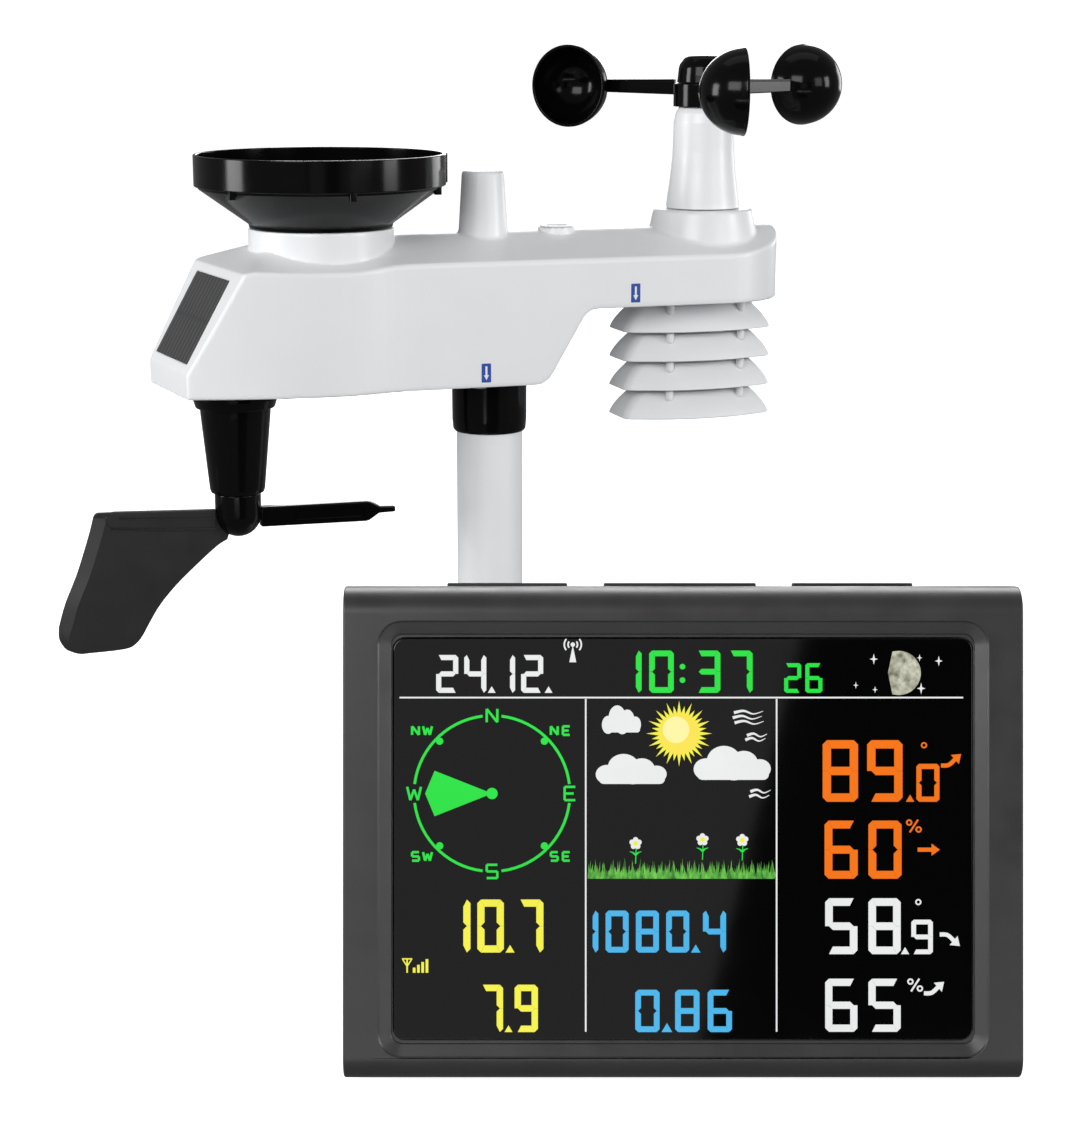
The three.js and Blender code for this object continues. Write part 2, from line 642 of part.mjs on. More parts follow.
// One cup with its arm, turned about the spindle by an angle in degrees.
function windCup(angle) {
  const steps = 4;
  const curve = (r, depth) => Array.from({ length: steps + 1 }, (_, i) => {
    const t = i / steps * Math.PI / 2;
    return new THREE.Vector2(r * Math.sin(t), -depth * Math.cos(t));
  });
  const inner = curve(CUP_RADIUS - CUP_WALL, CUP_DEPTH - CUP_WALL).reverse();
  const bowl = new THREE.LatheGeometry([...curve(CUP_RADIUS, CUP_DEPTH), ...inner], 20);
  bowl.translate(CUP_ARM_RADIUS, CUP_MOUTH, CUP_LEVEL);
  const armEnd = CUP_ARM_RADIUS - CUP_RADIUS * Math.sqrt(1 - (CUP_MOUTH / CUP_DEPTH) ** 2) + 0.6;
  const arm = prism(outline([
    [HUB_R + 0.4, CUP_LEVEL - 3.4], [armEnd, CUP_LEVEL - 2.7],
    [armEnd, CUP_LEVEL + 2.7], [HUB_R + 0.4, CUP_LEVEL + 3.4],
  ]), 'xz', [-1.4, 1.4]);
  return join(solid(bowl), arm).rotate([0, 0, angle]);
}

// ---------------------------------------------------------------- wind direction

function makeVane() {
  const bearingBottom = VANE_TOWER_BOTTOM + 0.8;
  const tower = turned([
    [3, 174], [3, 178], [VANE_FLANGE_R, HEAD_BOTTOM - GAP], [VANE_FLANGE_R, 174.6], [17, 170.8],
    [15.2, 170.8], [15, 167.6], [11.9, VANE_TOWER_BOTTOM + 1.4], [11.2, VANE_TOWER_BOTTOM],
    [BEARING_R + GAP, VANE_TOWER_BOTTOM], [BEARING_R + GAP, 142], [3, 142],
  ], VANE_X, 0, 24);
  piece(head, 'vane_tower', tower, BLACK);
  const bearing = turned([
    [SHAFT_R + GAP, bearingBottom], [BEARING_R, bearingBottom], [BEARING_R, 141.4], [SHAFT_R + GAP, 141.4],
  ], VANE_X, 0, 16);
  piece(head, 'vane_bearing', bearing, STEEL);

  piece(head, 'vane_shaft', post(VANE_X, 0, SHAFT_R, [125.9, 172], SHAFT_R, 12), STEEL);
  const ball = Array.from({ length: 5 }, (_, i) => {
    const t = i / 4 * Math.PI / 2;
    return [VANE_HUB_R * Math.sin(t), VANE_HUB_MID - VANE_HUB_R * Math.cos(t)];
  });
  const hub = turned([
    ...ball, [VANE_HUB_R, VANE_HUB_TOP], [SHAFT_R + GAP, VANE_HUB_TOP], [SHAFT_R + GAP, 125.5], [0, 125.5],
  ], VANE_X, 0, 20);
  piece(head, 'vane_hub', hub, BLACK);

  const reach = VANE_HUB_R + 0.4;
  const arrow = outline([
    [VANE_X + reach, 117.6], [-60, 117.1, 3], [-51.2, 120.3, 1], [VANE_TIP_X, 120.6, 1],
    [VANE_TIP_X, 123.3, 1], [-50, 123.8, 1], [-59, 126, 3], [VANE_X + reach, 126.6],
  ], 2);
  piece(head, 'vane_arrow', prism(arrow, 'xz', [-SPAR_THICK / 2, SPAR_THICK / 2]), BLACK);

  const blade = outline([
    [VANE_X - reach, 126.6], [-173, 128.2, 2], [-177.4, 122.6, 2], [-194.6, 78.9, 5], [-186.5, 67, 4],
    [-165.5, 66.7, 5], [-157.5, 71.6, 3], [-145.2, 90.2, 8], [-133.7, 103.6, 5], [VANE_X - reach, 111],
  ], 3);
  const spar = outline([
    [VANE_X - reach, 117.6], [VANE_X - reach, 126.6], [-171, 128.2, 2], [-173.6, 123, 2],
  ], 2);
  piece(head, 'vane_tail', join(
    prism(blade, 'xz', [-BLADE_THICK / 2, BLADE_THICK / 2]),
    prism(spar, 'xz', [-SPAR_THICK / 2, SPAR_THICK / 2]),
  ), TAIL_GREY);
}

// ---------------------------------------------------------------- radiation shield

// A louvre's plan at a height: an oblong with bowed long sides, drawn in by a distance.
function louvrePlan(z, drawnIn) {
  const half = LOUVRE_HALF_X - drawnIn;
  const corner = LOUVRE_CORNER - drawnIn / 2;
  const bow = LOUVRE_MIDDLE - drawnIn - corner;
  const side = [-1, -0.75, -0.45, -0.15, 0.15, 0.45, 0.75, 1].map(f =>
    [f * half, -corner - bow * (1 - f * f), Math.abs(f) === 1 ? 2.5 : 0]);
  const corners = [...side, ...side.map(([x, y, setback]) => [-x, -y, setback])];
  return outline(corners, 3).map(p => new THREE.Vector3(SHIELD_X + p.x, p.y, z));
}

function makeShield() {
  for (let i = 0; i < LOUVRES; i++) {
    const low = SHIELD_TOP_EDGE - i * SHIELD_PITCH;
    const top = low + LOUVRE_HEIGHT;
    const outer = loft(LOUVRE_SKIRT.map(([rise, drawnIn]) => louvrePlan(low + rise, drawnIn)));
    const inner = loft([
      louvrePlan(low - 1, LOUVRE_WALL - 0.5),
      ...LOUVRE_SKIRT.slice(1).map(([rise, drawnIn]) =>
        louvrePlan(low + rise - LOUVRE_WALL, drawnIn + LOUVRE_WALL * 0.7)),
    ]);
    const pegs = PEG_PLACES.map(([x, y]) =>
      post(SHIELD_X + x, y, PEG_R, [low + 7, top + 1], PEG_R, 10));
    const airway = post(SHIELD_X, 0, AIRWAY_R, [low - 5, top + 5], AIRWAY_R, 16);
    const bores = ROD_PLACES.map(([x, y]) =>
      post(SHIELD_X + x, y, ROD_R + GAP, [low - 5, top + 5], ROD_R + GAP, 8));
    const floor = i === LOUVRES - 1 ? [] : [airway];
    const louvre = cut(join(outer, ...pegs), inner, ...floor, ...bores);
    piece(head, `shield_louvre_${i + 1}`, louvre, WHITE_MATT);
  }
  const lowest = SHIELD_TOP_EDGE - (LOUVRES - 1) * SHIELD_PITCH;
  const rods = ROD_PLACES.map(([x, y]) =>
    post(SHIELD_X + x, y, ROD_R, [lowest + 3, ARM_BOTTOM + 4], ROD_R, 8));
  const flangePlan = rectangle([SHIELD_X - 22, SHIELD_X + 22], [-15, 15], 6, 4);
  const flange = cut(
    prism(flangePlan, 'xy', [ARM_BOTTOM - 1.3, ARM_BOTTOM - GAP]),
    post(SHIELD_X, 0, AIRWAY_R, [200, 220], AIRWAY_R, 16),
  );
  piece(head, 'shield_carrier', join(flange, ...rods), WHITE_MATT);
}

// ---------------------------------------------------------------- mast clamp

function makeClamp() {
  const sleeve = turned([
    [MAST_R + GAP + 0.2, 155.6], [15.6, 154.8], [16.2, 156], [16.6, 168], [16.6, HEAD_BOTTOM - GAP],
    [MAST_R + GAP + 0.2, HEAD_BOTTOM - GAP],
  ], 0, 0, 24);
  const lug = box([-7, 7], [15.8, 23], [159, 175]);
  const screwHole = bar('x', 2.3, [-10, 10], [19.6, 167], 8);
  piece(head, 'mast_clamp', cut(join(sleeve, lug), screwHole), BLACK);
  const screw = join(
    bar('x', 2, [-9, 8.6], [19.6, 167], 8),
    bar('x', 3.8, [7.3, 10], [19.6, 167], 12),
  );
  piece(head, 'clamp_screw', screw, STEEL);
}

// ---------------------------------------------------------------- console

// The console's side view, a margin inside its outer surface.
function consoleSide(margin) {
  const [front, back, low, high] = [margin, CONSOLE_D - margin, margin, CONSOLE_H - margin];
  return outline([[front, low, ROLL * 0.7], [back, low, 2], [back, high, 3], [front, high, ROLL]], 6);
}

function makeConsole() {
  const halfW = CONSOLE_W / 2;
  const side = prism(consoleSide(0), 'yz', [-halfW, halfW]);
  const inside = prism(consoleSide(CASE_WALL), 'yz', [-halfW + CASE_WALL, halfW - CASE_WALL]);
  const span = [-halfW - 1, halfW + 1];
  const whole = [-1, CONSOLE_H + 1];

  const recess = prism(
    rectangle([-RECESS.x, RECESS.x], [RECESS.low, RECESS.high], RECESS.corner, 5), 'xz', [-1, RECESS.depth],
  );
  const window = prism(
    rectangle([-WINDOW.x, WINDOW.x], [WINDOW.low, WINDOW.high], WINDOW.corner, 4), 'xz', [-1, 8],
  );
  const lensLedge = box([-WINDOW.x + 4, WINDOW.x - 4], [0, 9], [WINDOW.low + 4, WINDOW.high - 4]);
  const front = cut(
    side.intersect(box(span, [-1, SPLIT_Y], whole)),
    inside.intersect(box(span, [5, CONSOLE_D], whole)), recess,
    window.intersect(box(span, [-1, 3.8], whole)), lensLedge,
  );
  piece(consoleUnit, 'console_front', front, CHARCOAL);

  const lens = prism(
    rectangle([-WINDOW.x + GAP, WINDOW.x - GAP], [WINDOW.low + GAP, WINDOW.high - GAP], WINDOW.corner, 4),
    'xz', [RECESS.depth, 3.5],
  );
  piece(consoleUnit, 'console_lens', lens, LENS);
  const panel = box([-WINDOW.x + 4.4, WINDOW.x - 4.4], [3.9, 6.4], [WINDOW.low + 4.4, WINDOW.high - 4.4]);
  piece(consoleUnit, 'lcd_panel', panel, LCD);
  piece(consoleUnit, 'console_board', box([-88, 88], [7.2, 8.8], [14, 142]), BOARD);
  piece(consoleUnit, 'buzzer', bar('y', 6, [9.2, 13.6], [-70, 110], 20), BLACK_MATT);

  const pocket = { half: LEG_HALF + 1, high: LEG_HINGE.z + 4, floor: 21 };
  const pocketWalls = box([-pocket.half - 2, pocket.half + 2], [pocket.floor - 2, CONSOLE_D - 1],
    [1.2, pocket.high + 2]).intersect(side);
  const pocketSpace = box([-pocket.half, pocket.half], [pocket.floor, CONSOLE_D + 2], [-2, pocket.high]);
  const buttonSlots = BUTTON_SPANS.map(([from, to]) =>
    box([from - GAP, to + GAP], [BUTTON_Y[0] - GAP, BUTTON_Y[1] + GAP], [CONSOLE_H - 6, CONSOLE_H + 2]));
  const hatchway = box(
    [HATCH.x0 - GAP, HATCH.x1 + GAP], [20, CONSOLE_D + 2], [HATCH.low - 1.4, HATCH.high + 0.5],
  );
  const legPinY = LEG_HINGE.y;
  const pinHole = bar('x', 1.6, [-halfW * 0.31, halfW * 0.31], [legPinY, LEG_HINGE.z], 12);
  const jackHole = bar('x', 3.4, [-halfW - 2, -halfW + 6], [19, 30], 16);
  const vents = Array.from({ length: 6 }, (_, i) => {
    const z = 104 + i * 5;
    return box([-22, 22], [CONSOLE_D - 4, CONSOLE_D + 1], [z, z + 1.8]);
  });
  const back = cut(
    join(cut(side.intersect(box(span, [SPLIT_Y + GAP, CONSOLE_D + 1], whole)), inside), pocketWalls),
    pocketSpace, ...buttonSlots, hatchway, pinHole, jackHole, ...vents,
  );
  piece(consoleUnit, 'console_back', back, CHARCOAL);
  piece(consoleUnit, 'leg_pin', bar('x', 1.2, [-32.8, 32.8], [legPinY, LEG_HINGE.z], 10), STEEL);

  const jack = cut(
    box([-halfW + CASE_WALL + GAP, -halfW + 14], [14.4, 23.4], [25, 35]),
    bar('x', 2.6, [-halfW, -halfW + 10], [19, 30], 12),
  );
  piece(consoleUnit, 'dc_socket', jack, BLACK_MATT);

  BUTTON_SPANS.forEach(([from, to], i) => {
    const key = join(
      box([from, to], BUTTON_Y, [CONSOLE_H - 4, CONSOLE_H + BUTTON_PROUD]),
      box([from - 1.2, to + 1.2], [BUTTON_Y[0] - 1.2, BUTTON_Y[1] + 1.2],
        [CONSOLE_H - 4.6, CONSOLE_H - CASE_WALL - GAP]),
    );
    piece(consoleUnit, `top_button_${i + 1}`, key, BLACK_MATT);
  });

  piece(consoleUnit, 'rubber_foot', box([-94, 94], [19.5, 25.5], [-FOOT_PAD, -0.05]), RUBBER);

  const thick = 2.2;
  const doorY = CONSOLE_D - 0.2 - thick / 2;
  const hatch = join(
    box([HATCH.x0, HATCH.x1], [doorY - thick / 2, doorY + thick / 2], [HATCH.low, HATCH.high]),
    bar('x', thick / 2, [HATCH.x0, HATCH.x1], [doorY, HATCH.low], 12),
  );
  const grip = bar('x', 2.6, [HATCH.x0 + 22, HATCH.x1 - 22], [CONSOLE_D + 1.4, HATCH.high - 3], 16);
  piece(consoleUnit, 'console_battery_door', cut(hatch, grip), CHARCOAL);
  [28, 43].forEach((z, i) => {
    const cell = join(bar('x', 5.1, [46, 89], [18.3, z], 16), bar('x', 1.9, [88, 90.5], [18.3, z], 10));
    piece(consoleUnit, `console_cell_${i + 1}`, cell, CELL);
  });
  [-96, 96].forEach((x, i) => {
    const screw = bar('y', 2.6, [CONSOLE_D + 0.05, CONSOLE_D + 0.9], [x, 144], 12);
    piece(consoleUnit, `case_screw_${i + 1}`, screw, STEEL);
  });
}

function makeLeg() {
  const lean = CONSOLE_LEAN * RAD;
  const lift = consoleLift();
  const hingeHeight = lift + LEG_HINGE.z * Math.cos(lean) - LEG_HINGE.y * Math.sin(lean);
  const length = hingeHeight / Math.cos(LEG_FROM_UPRIGHT * RAD);
  const tipRound = 1.3;
  // Drawn hanging straight down from the hinge, then swung out to its opened angle.
  const plate = prism(outline([
    [-LEG_HALF, 0.5], [LEG_HALF, 0.5], [LEG_HALF, -length * 0.35], [LEG_HALF - 9, -length + tipRound, 5],
    [-LEG_HALF + 9, -length + tipRound, 5], [-LEG_HALF, -length * 0.35],
  ]), 'xz', [-1.3, 1.3]);
  const barrel = bar('x', 2.7, [-LEG_HALF, LEG_HALF], [0, 0], 16);
  const tip = bar('x', tipRound, [-LEG_HALF + 14, LEG_HALF - 14], [0, -length + tipRound], 12);
  const bore = bar('x', 1.5, [-LEG_HALF - 1, LEG_HALF + 1], [0, 0], 12);
  const leg = piece(new THREE.Group(), 'easel_leg', cut(join(plate, barrel, tip), bore), CHARCOAL);
  leg.position.set(0, LEG_HINGE.y, LEG_HINGE.z);
  leg.rotation.x = (CONSOLE_LEAN + LEG_FROM_UPRIGHT) * RAD;
  consoleUnit.add(leg);
}

// Height of the console's front lower edge when the back of its rubber feet touches the floor.
function consoleLift() {
  const lean = CONSOLE_LEAN * RAD;
  return 25.5 * Math.sin(lean) + FOOT_PAD * Math.cos(lean);
}

// ---------------------------------------------------------------- assembly

makeMast();
makeHousing();
makeBase();
makeInside();
makeRainGauge();
makeAnemometer();
makeVane();
makeShield();
makeClamp();
makeConsole();
makeLeg();

head.rotation.z = HEAD_YAW * RAD;
consoleUnit.position.set(CONSOLE_X, CONSOLE_Y, consoleLift());
consoleUnit.rotation.x = -CONSOLE_LEAN * RAD;
station.add(head, consoleUnit);

export default station;
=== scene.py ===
"""The looks of a home weather station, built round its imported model.

Builders work in millimetres in two local frames: the head's, whose x axis runs along its arm,
and the console's, whose x axis runs along its screen and whose y axis runs into it.
"""

import json
import math

import bmesh
import bpy
import numpy as np
from mathutils import Matrix, Vector


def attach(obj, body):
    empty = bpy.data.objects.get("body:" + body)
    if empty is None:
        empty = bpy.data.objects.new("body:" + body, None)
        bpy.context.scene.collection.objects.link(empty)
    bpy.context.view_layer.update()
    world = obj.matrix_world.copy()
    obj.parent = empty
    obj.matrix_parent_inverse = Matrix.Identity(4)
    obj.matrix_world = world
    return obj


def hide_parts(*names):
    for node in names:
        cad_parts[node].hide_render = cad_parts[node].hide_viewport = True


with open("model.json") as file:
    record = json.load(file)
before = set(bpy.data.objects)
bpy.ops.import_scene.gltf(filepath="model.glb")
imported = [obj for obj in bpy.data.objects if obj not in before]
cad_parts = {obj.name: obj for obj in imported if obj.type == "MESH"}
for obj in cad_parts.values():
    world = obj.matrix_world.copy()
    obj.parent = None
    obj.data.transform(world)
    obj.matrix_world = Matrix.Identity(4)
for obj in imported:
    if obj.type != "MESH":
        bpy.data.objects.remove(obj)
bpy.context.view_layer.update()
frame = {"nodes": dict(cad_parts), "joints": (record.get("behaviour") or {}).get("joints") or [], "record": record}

# ---- places taken from the frame

JOINTS = {joint["name"]: joint for joint in frame["joints"]}
MM = Matrix.Scale(0.001, 4)


def along_arm(joint):
    """Signed distance of a head joint from the mast, in millimetres."""
    x, y = JOINTS[joint]["pos_m"][:2]
    return math.copysign(1000 * math.hypot(x, y), x)


arm_axis = JOINTS["bucket_tip"]["axis"]
STAND = MM
HEAD = Matrix.Rotation(math.atan2(arm_axis[1], arm_axis[0]), 4, "Z") @ MM
RAIN_X = along_arm("bucket_tip")
TOWER_X = along_arm("cup_spin")
VANE_X = along_arm("vane_spin")

press_axis = JOINTS["button_left_press"]["axis"]
LEAN = Matrix.Rotation(-math.atan2(-press_axis[1], -press_axis[2]), 4, "X")
LEG_HINGE = Vector((0, 24, 84))
console_origin = Vector(JOINTS["leg_fold"]["pos_m"]) - (LEAN @ LEG_HINGE) / 1000
CONSOLE = Matrix.Translation(console_origin) @ LEAN @ MM

# Head
END_X = -143
END_SHEAR = 0.12
END_HALF = 25
BOTTOM = 179
BAND_TOP = 189.5
SLANT_TOP = (-120, 231)
RIDGE = 242.4
ROOF_SLOPE = 0.334
ARM_BOTTOM = 211
ARM_HALF = 33.5
BULGE_HALF = 39
WALL = 2.5
COLLAR_R = 31.1
COLLAR_BORE_R = 28.4
COLLAR_TOP = 246.4
ANTENNA_X = -2.5
LEVEL_X = 31.3
SHIELD_X = 95.1
TOWER_BASE = 250.4
BOSS_BOTTOM = 226

# Console
SCREEN_W = 215.4
SCREEN_H = 156.6
SPLIT_Y = 13
RECESS_DEPTH = 1.8
RECESS_MIDDLE = 76.6
LENS_MIDDLE = 76.5
KEY_SPANS = ((-75.2, -36.5), (-24.6, 24.4), (36.5, 74.9))

# ---- outlines


def rounded(corners, steps=6):
    """A closed outline through (a, b) or (a, b, radius) corners, with each radius as an arc."""
    points = []
    for i, corner in enumerate(corners):
        here = Vector(corner[:2])
        radius = corner[2] if len(corner) > 2 else 0
        if not radius:
            points.append(tuple(here))
            continue
        before = (Vector(corners[i - 1][:2]) - here).normalized()
        after = (Vector(corners[(i + 1) % len(corners)][:2]) - here).normalized()
        half = before.angle(after) / 2
        centre = here + (before + after).normalized() * radius / math.sin(half)
        start = here + before * radius / math.tan(half) - centre
        end = here + after * radius / math.tan(half) - centre
        first = math.atan2(start.y, start.x)
        sweep = (math.atan2(end.y, end.x) - first + math.pi) % (2 * math.pi) - math.pi
        points += arc(centre, radius, first, first + sweep, steps)
    return points


def arc(centre, radius, first, last, steps):
    """Points along an arc, both ends included."""
    angles = np.linspace(first, last, steps + 1)
    return [(centre[0] + radius * math.cos(a), centre[1] + radius * math.sin(a)) for a in angles]


def bearing(centre, radius, turns):
    """The point at a distance from a centre, a number of turns clockwise from straight up."""
    angle = 2 * math.pi * turns
    return centre[0] + radius * math.sin(angle), centre[1] + radius * math.cos(angle)


def circle(centre, radius, sides=24):
    return arc(centre, radius, 0, 2 * math.pi * (1 - 1 / sides), sides - 1)


def bezier(a, b, c, d, steps):
    """Points along a cubic curve, its first end left out."""
    t = np.linspace(0, 1, steps + 1)[1:, None]
    a, b, c, d = (np.array(p, float) for p in (a, b, c, d))
    curve = a * (1 - t) ** 3 + 3 * b * t * (1 - t) ** 2 + 3 * c * t * t * (1 - t) + d * t ** 3
    return [tuple(p) for p in curve]


def spline(points, steps=5):
    """A smooth curve through the points, ends included."""
    ends = [points[0], *points, points[-1]]
    curve = [tuple(points[0])]
    for a, b, c, d in zip(ends, ends[1:], ends[2:], ends[3:]):
        a, b, c, d = (np.array(p, float) for p in (a, b, c, d))
        curve += bezier(b, b + (c - a) / 6, c - (d - b) / 6, c, steps)
    return curve


def oblong(half_a, half_b, radius, centre=(0, 0), steps=6):
    """A rectangle with rounded corners."""
    a, b = centre
    corners = [(-half_a, -half_b), (half_a, -half_b), (half_a, half_b), (-half_a, half_b)]
    return rounded([(a + x, b + y, radius) for x, y in corners], steps)


def inset(points, distance):
    """An anticlockwise outline moved inwards."""
    p = np.array(points, float)
    before = p - np.roll(p, 1, axis=0)
    after = np.roll(p, -1, axis=0) - p
    before /= np.linalg.norm(before, axis=1)[:, None]
    after /= np.linalg.norm(after, axis=1)[:, None]
    inward = np.stack([-before[:, 1] - after[:, 1], before[:, 0] + after[:, 0]], 1)
    return p + inward * (distance / (1 + (before * after).sum(1)))[:, None]


# ---- solids as bmesh


def skin(rings, closed=False):
    """A surface through rings with equal numbers of points, capped at its ends unless closed."""
    bm = bmesh.new()
    made = [[bm.verts.new(p) for p in ring] for ring in rings]
    count = len(rings[0])
    pairs = list(zip(made, made[1:]))
    if closed:
        pairs.append((made[-1], made[0]))
    else:
        bm.faces.new(made[0][::-1])
        bm.faces.new(made[-1])
    for low, high in pairs:
        for i in range(count):
            j = (i + 1) % count
            bm.faces.new((low[i], low[j], high[j], high[i]))
    bmesh.ops.remove_doubles(bm, verts=bm.verts, dist=1e-4)
    bmesh.ops.recalc_face_normals(bm, faces=bm.faces)
    return bm


def turned(corners, centre=(0, 0), sides=96, steps=5):
    """A solid of revolution about an upright axis, from a closed (radius, height) section."""
    spin = [(math.cos(a), math.sin(a)) for a in np.arange(sides) * 2 * math.pi / sides]
    return skin([
        [(centre[0] + r * c, centre[1] + r * s, z) for c, s in spin]
        for r, z in rounded(corners, steps)
    ], closed=True)


def prism(outline, plane, low, high, soften=0, segments=3):
    """An outline in the xy, xz or yz plane drawn out between two values of the third axis."""
    place = {
        "xy": lambda a, b, c: (a, b, c),
        "xz": lambda a, b, c: (a, c, b),
        "yz": lambda a, b, c: (c, a, b),
    }[plane]
    bm = skin([[place(a, b, c) for a, b in outline] for c in (low, high)])
    return softened(bm, soften, segments) if soften else bm


def rod(radius, low, high, centre=(0, 0), sides=96):
    """An upright cylinder."""
    return turned([(0, low), (radius, low), (radius, high), (0, high)], centre, sides)


def block(x, y, z, soften=0):
    """A box between three ranges."""
    return prism([(x[0], y[0]), (x[1], y[0]), (x[1], y[1]), (x[0], y[1])], "xy", *z, soften)


def softened(bm, radius, segments=3, least=30):
    """Rounds off every edge sharper than an angle."""
    sharp = [e for e in bm.edges if e.is_manifold and e.calc_face_angle() > math.radians(least)]
    bmesh.ops.bevel(
        bm, geom=sharp, offset=radius, segments=segments, profile=0.5, affect="EDGES", clamp_overlap=True,
    )
    return bm


def gather(*parts):
    """Several solids as one mesh."""
    whole = bmesh.new()
    for part in parts:
        mesh = bpy.data.meshes.new("part")
        part.to_mesh(mesh)
        whole.from_mesh(mesh)
        bpy.data.meshes.remove(mesh)
    return whole


def moved(bm, matrix):
    bm.transform(matrix)
    return bm


def carved(bm, *cutters, solver="EXACT"):
    """A solid with other solids cut out of it."""
    meshes = []
    objects = []
    for i, source in enumerate((bm, *cutters)):
        mesh = bpy.data.meshes.new(f"carving_{i}")
        source.to_mesh(mesh)
        meshes.append(mesh)
        objects.append(bpy.data.objects.new(f"carving_{i}", mesh))
        bpy.context.scene.collection.objects.link(objects[-1])
    for cutter in objects[1:]:
        modifier = objects[0].modifiers.new("cut", "BOOLEAN")
        modifier.operation = "DIFFERENCE"
        modifier.solver = solver
        modifier.object = cutter
    shape = objects[0].evaluated_get(bpy.context.evaluated_depsgraph_get()).to_mesh()
    result = bmesh.new()
    result.from_mesh(shape)
    for item in objects:
        bpy.data.objects.remove(item)
    for mesh in meshes:
        bpy.data.meshes.remove(mesh)
    return result


def placed(name, bm, material):
    """A smooth-shaded object in the scene from a mesh in metres."""
    mesh = bpy.data.meshes.new(name)
    bm.to_mesh(mesh)
    bm.free()
    mesh.shade_smooth()
    mesh.materials.append(material)
    thing = bpy.data.objects.new(name, mesh)
    bpy.context.scene.collection.objects.link(thing)
    return thing


def add(name, bm, place, body, slot, replaces=(), sharp=34, material=None):
    """Puts a solid, in millimetres of a local frame, into the scene as a piece."""
    bm.transform(place)
    bmesh.ops.recalc_face_normals(bm, faces=bm.faces)
    piece = placed(name, bm, material or MATERIALS[slot])
    piece.data.set_sharp_from_angle(angle=math.radians(sharp))
    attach(piece, body)
    piece.modifiers.new("normals", "WEIGHTED_NORMAL").keep_sharp = True
    if replaces:
        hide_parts(*replaces)


# ---- materials


class Shader:
    """A Principled material and the few node patterns that the finishes share."""

    def __init__(self, name, roughness, metallic=0.0, coat=0.0, specular=0.5):
        self.material = bpy.data.materials.new(name)
        self.material.use_nodes = True
        self.nodes = self.material.node_tree.nodes
        self.links = self.material.node_tree.links
        self.shader = self.nodes["Principled BSDF"]
        self.set("Metallic", metallic)
        self.set("Roughness", roughness)
        self.set("Coat Weight", coat)
        self.set("Coat Roughness", 0.04)
        self.set("Specular IOR Level", specular)
        self.place = self.nodes.new("ShaderNodeTexCoord").outputs["Object"]

    def set(self, socket, value):
        self.shader.inputs[socket].default_value = value

    def node(self, kind, source, socket, **values):
        """A node fed through one socket, with fixed values on others; _ stands for a space."""
        node = self.nodes.new("ShaderNode" + kind)
        for name, value in values.items():
            node.inputs[name.replace("_", " ")].default_value = value
        self.links.new(source, node.inputs[socket])
        return node

    def noise(self, scale, detail=3.0, stretch=(1, 1, 1)):
        """Noise with a given number of features to the metre."""
        mapping = self.node("Mapping", self.place, "Vector", Scale=stretch)
        texture = self.node("TexNoise", mapping.outputs["Vector"], "Vector", Scale=scale, Detail=detail)
        return texture.outputs["Fac"]

    def spread(self, source, low, high):
        """The middle of a noise's range mapped onto two values."""
        ends = {"From_Min": 0.3, "From_Max": 0.7, "To_Min": low, "To_Max": high}
        return self.node("MapRange", source, "Value", **ends).outputs["Result"]

    def mix(self, factor, first, second):
        """A colour between two colours or colour outputs."""
        node = self.node("Mix", factor, "Factor")
        node.data_type = "RGBA"
        for socket, colour in ((node.inputs["A"], first), (node.inputs["B"], second)):
            if isinstance(colour, (tuple, list)):
                socket.default_value = (*colour, 1)
            else:
                self.links.new(colour, socket)
        return node.outputs["Result"]

    def to(self, socket, source):
        self.links.new(source, self.shader.inputs[socket])

    def bump(self, source, depth, strength=1.0):
        """Relief of a depth in metres."""
        node = self.node("Bump", source, "Height", Strength=strength, Distance=depth)
        self.to("Normal", node.outputs["Normal"])

    def shine(self, glow, dark, less_dark, strength):
        """Light of a colour output, over a base that varies between two dark colours."""
        self.to("Emission Color", glow)
        self.to("Base Color", self.mix(self.noise(400), dark, less_dark))
        self.set("Emission Strength", strength)


def shade(colour, factor):
    return tuple(min(1, c * factor) for c in colour)


def moulded(name, colour, roughness, grain=2600, relief=4e-6, vary=0.05, coat=0.0, specular=0.5):
    """Moulded plastic: a fine grain, a faint cloudiness and uneven gloss."""
    s = Shader(name, roughness, coat=coat, specular=specular)
    cloud = s.noise(34, 5)
    s.to("Base Color", s.mix(s.spread(cloud, 0, 1), shade(colour, 1 - vary), shade(colour, 1 + vary)))
    s.to("Roughness", s.spread(s.noise(90, 6), roughness * 0.85, roughness * 1.18))
    s.bump(s.noise(grain, 2), relief)
    return s.material


def metal(name, colour, roughness, stretch=(1, 1, 14)):
    """Drawn or turned metal with fine lines."""
    s = Shader(name, roughness, metallic=1)
    lines = s.noise(900, 4, stretch)
    s.to("Base Color", s.mix(s.spread(lines, 0, 1), shade(colour, 0.85), shade(colour, 1.1)))
    s.to("Roughness", s.spread(lines, roughness * 0.8, roughness * 1.3))
    s.bump(lines, 6e-6)
    return s.material


def circuit_board():
    """Green solder mask with paler tracks."""
    s = Shader("circuit_board", 0.42)
    tracks = s.noise(260, 1, (1, 0.15, 1))
    s.to("Base Color", s.mix(s.spread(tracks, 0, 1), (0.01, 0.09, 0.03), (0.03, 0.2, 0.08)))
    s.bump(tracks, 2e-5)
    return s.material


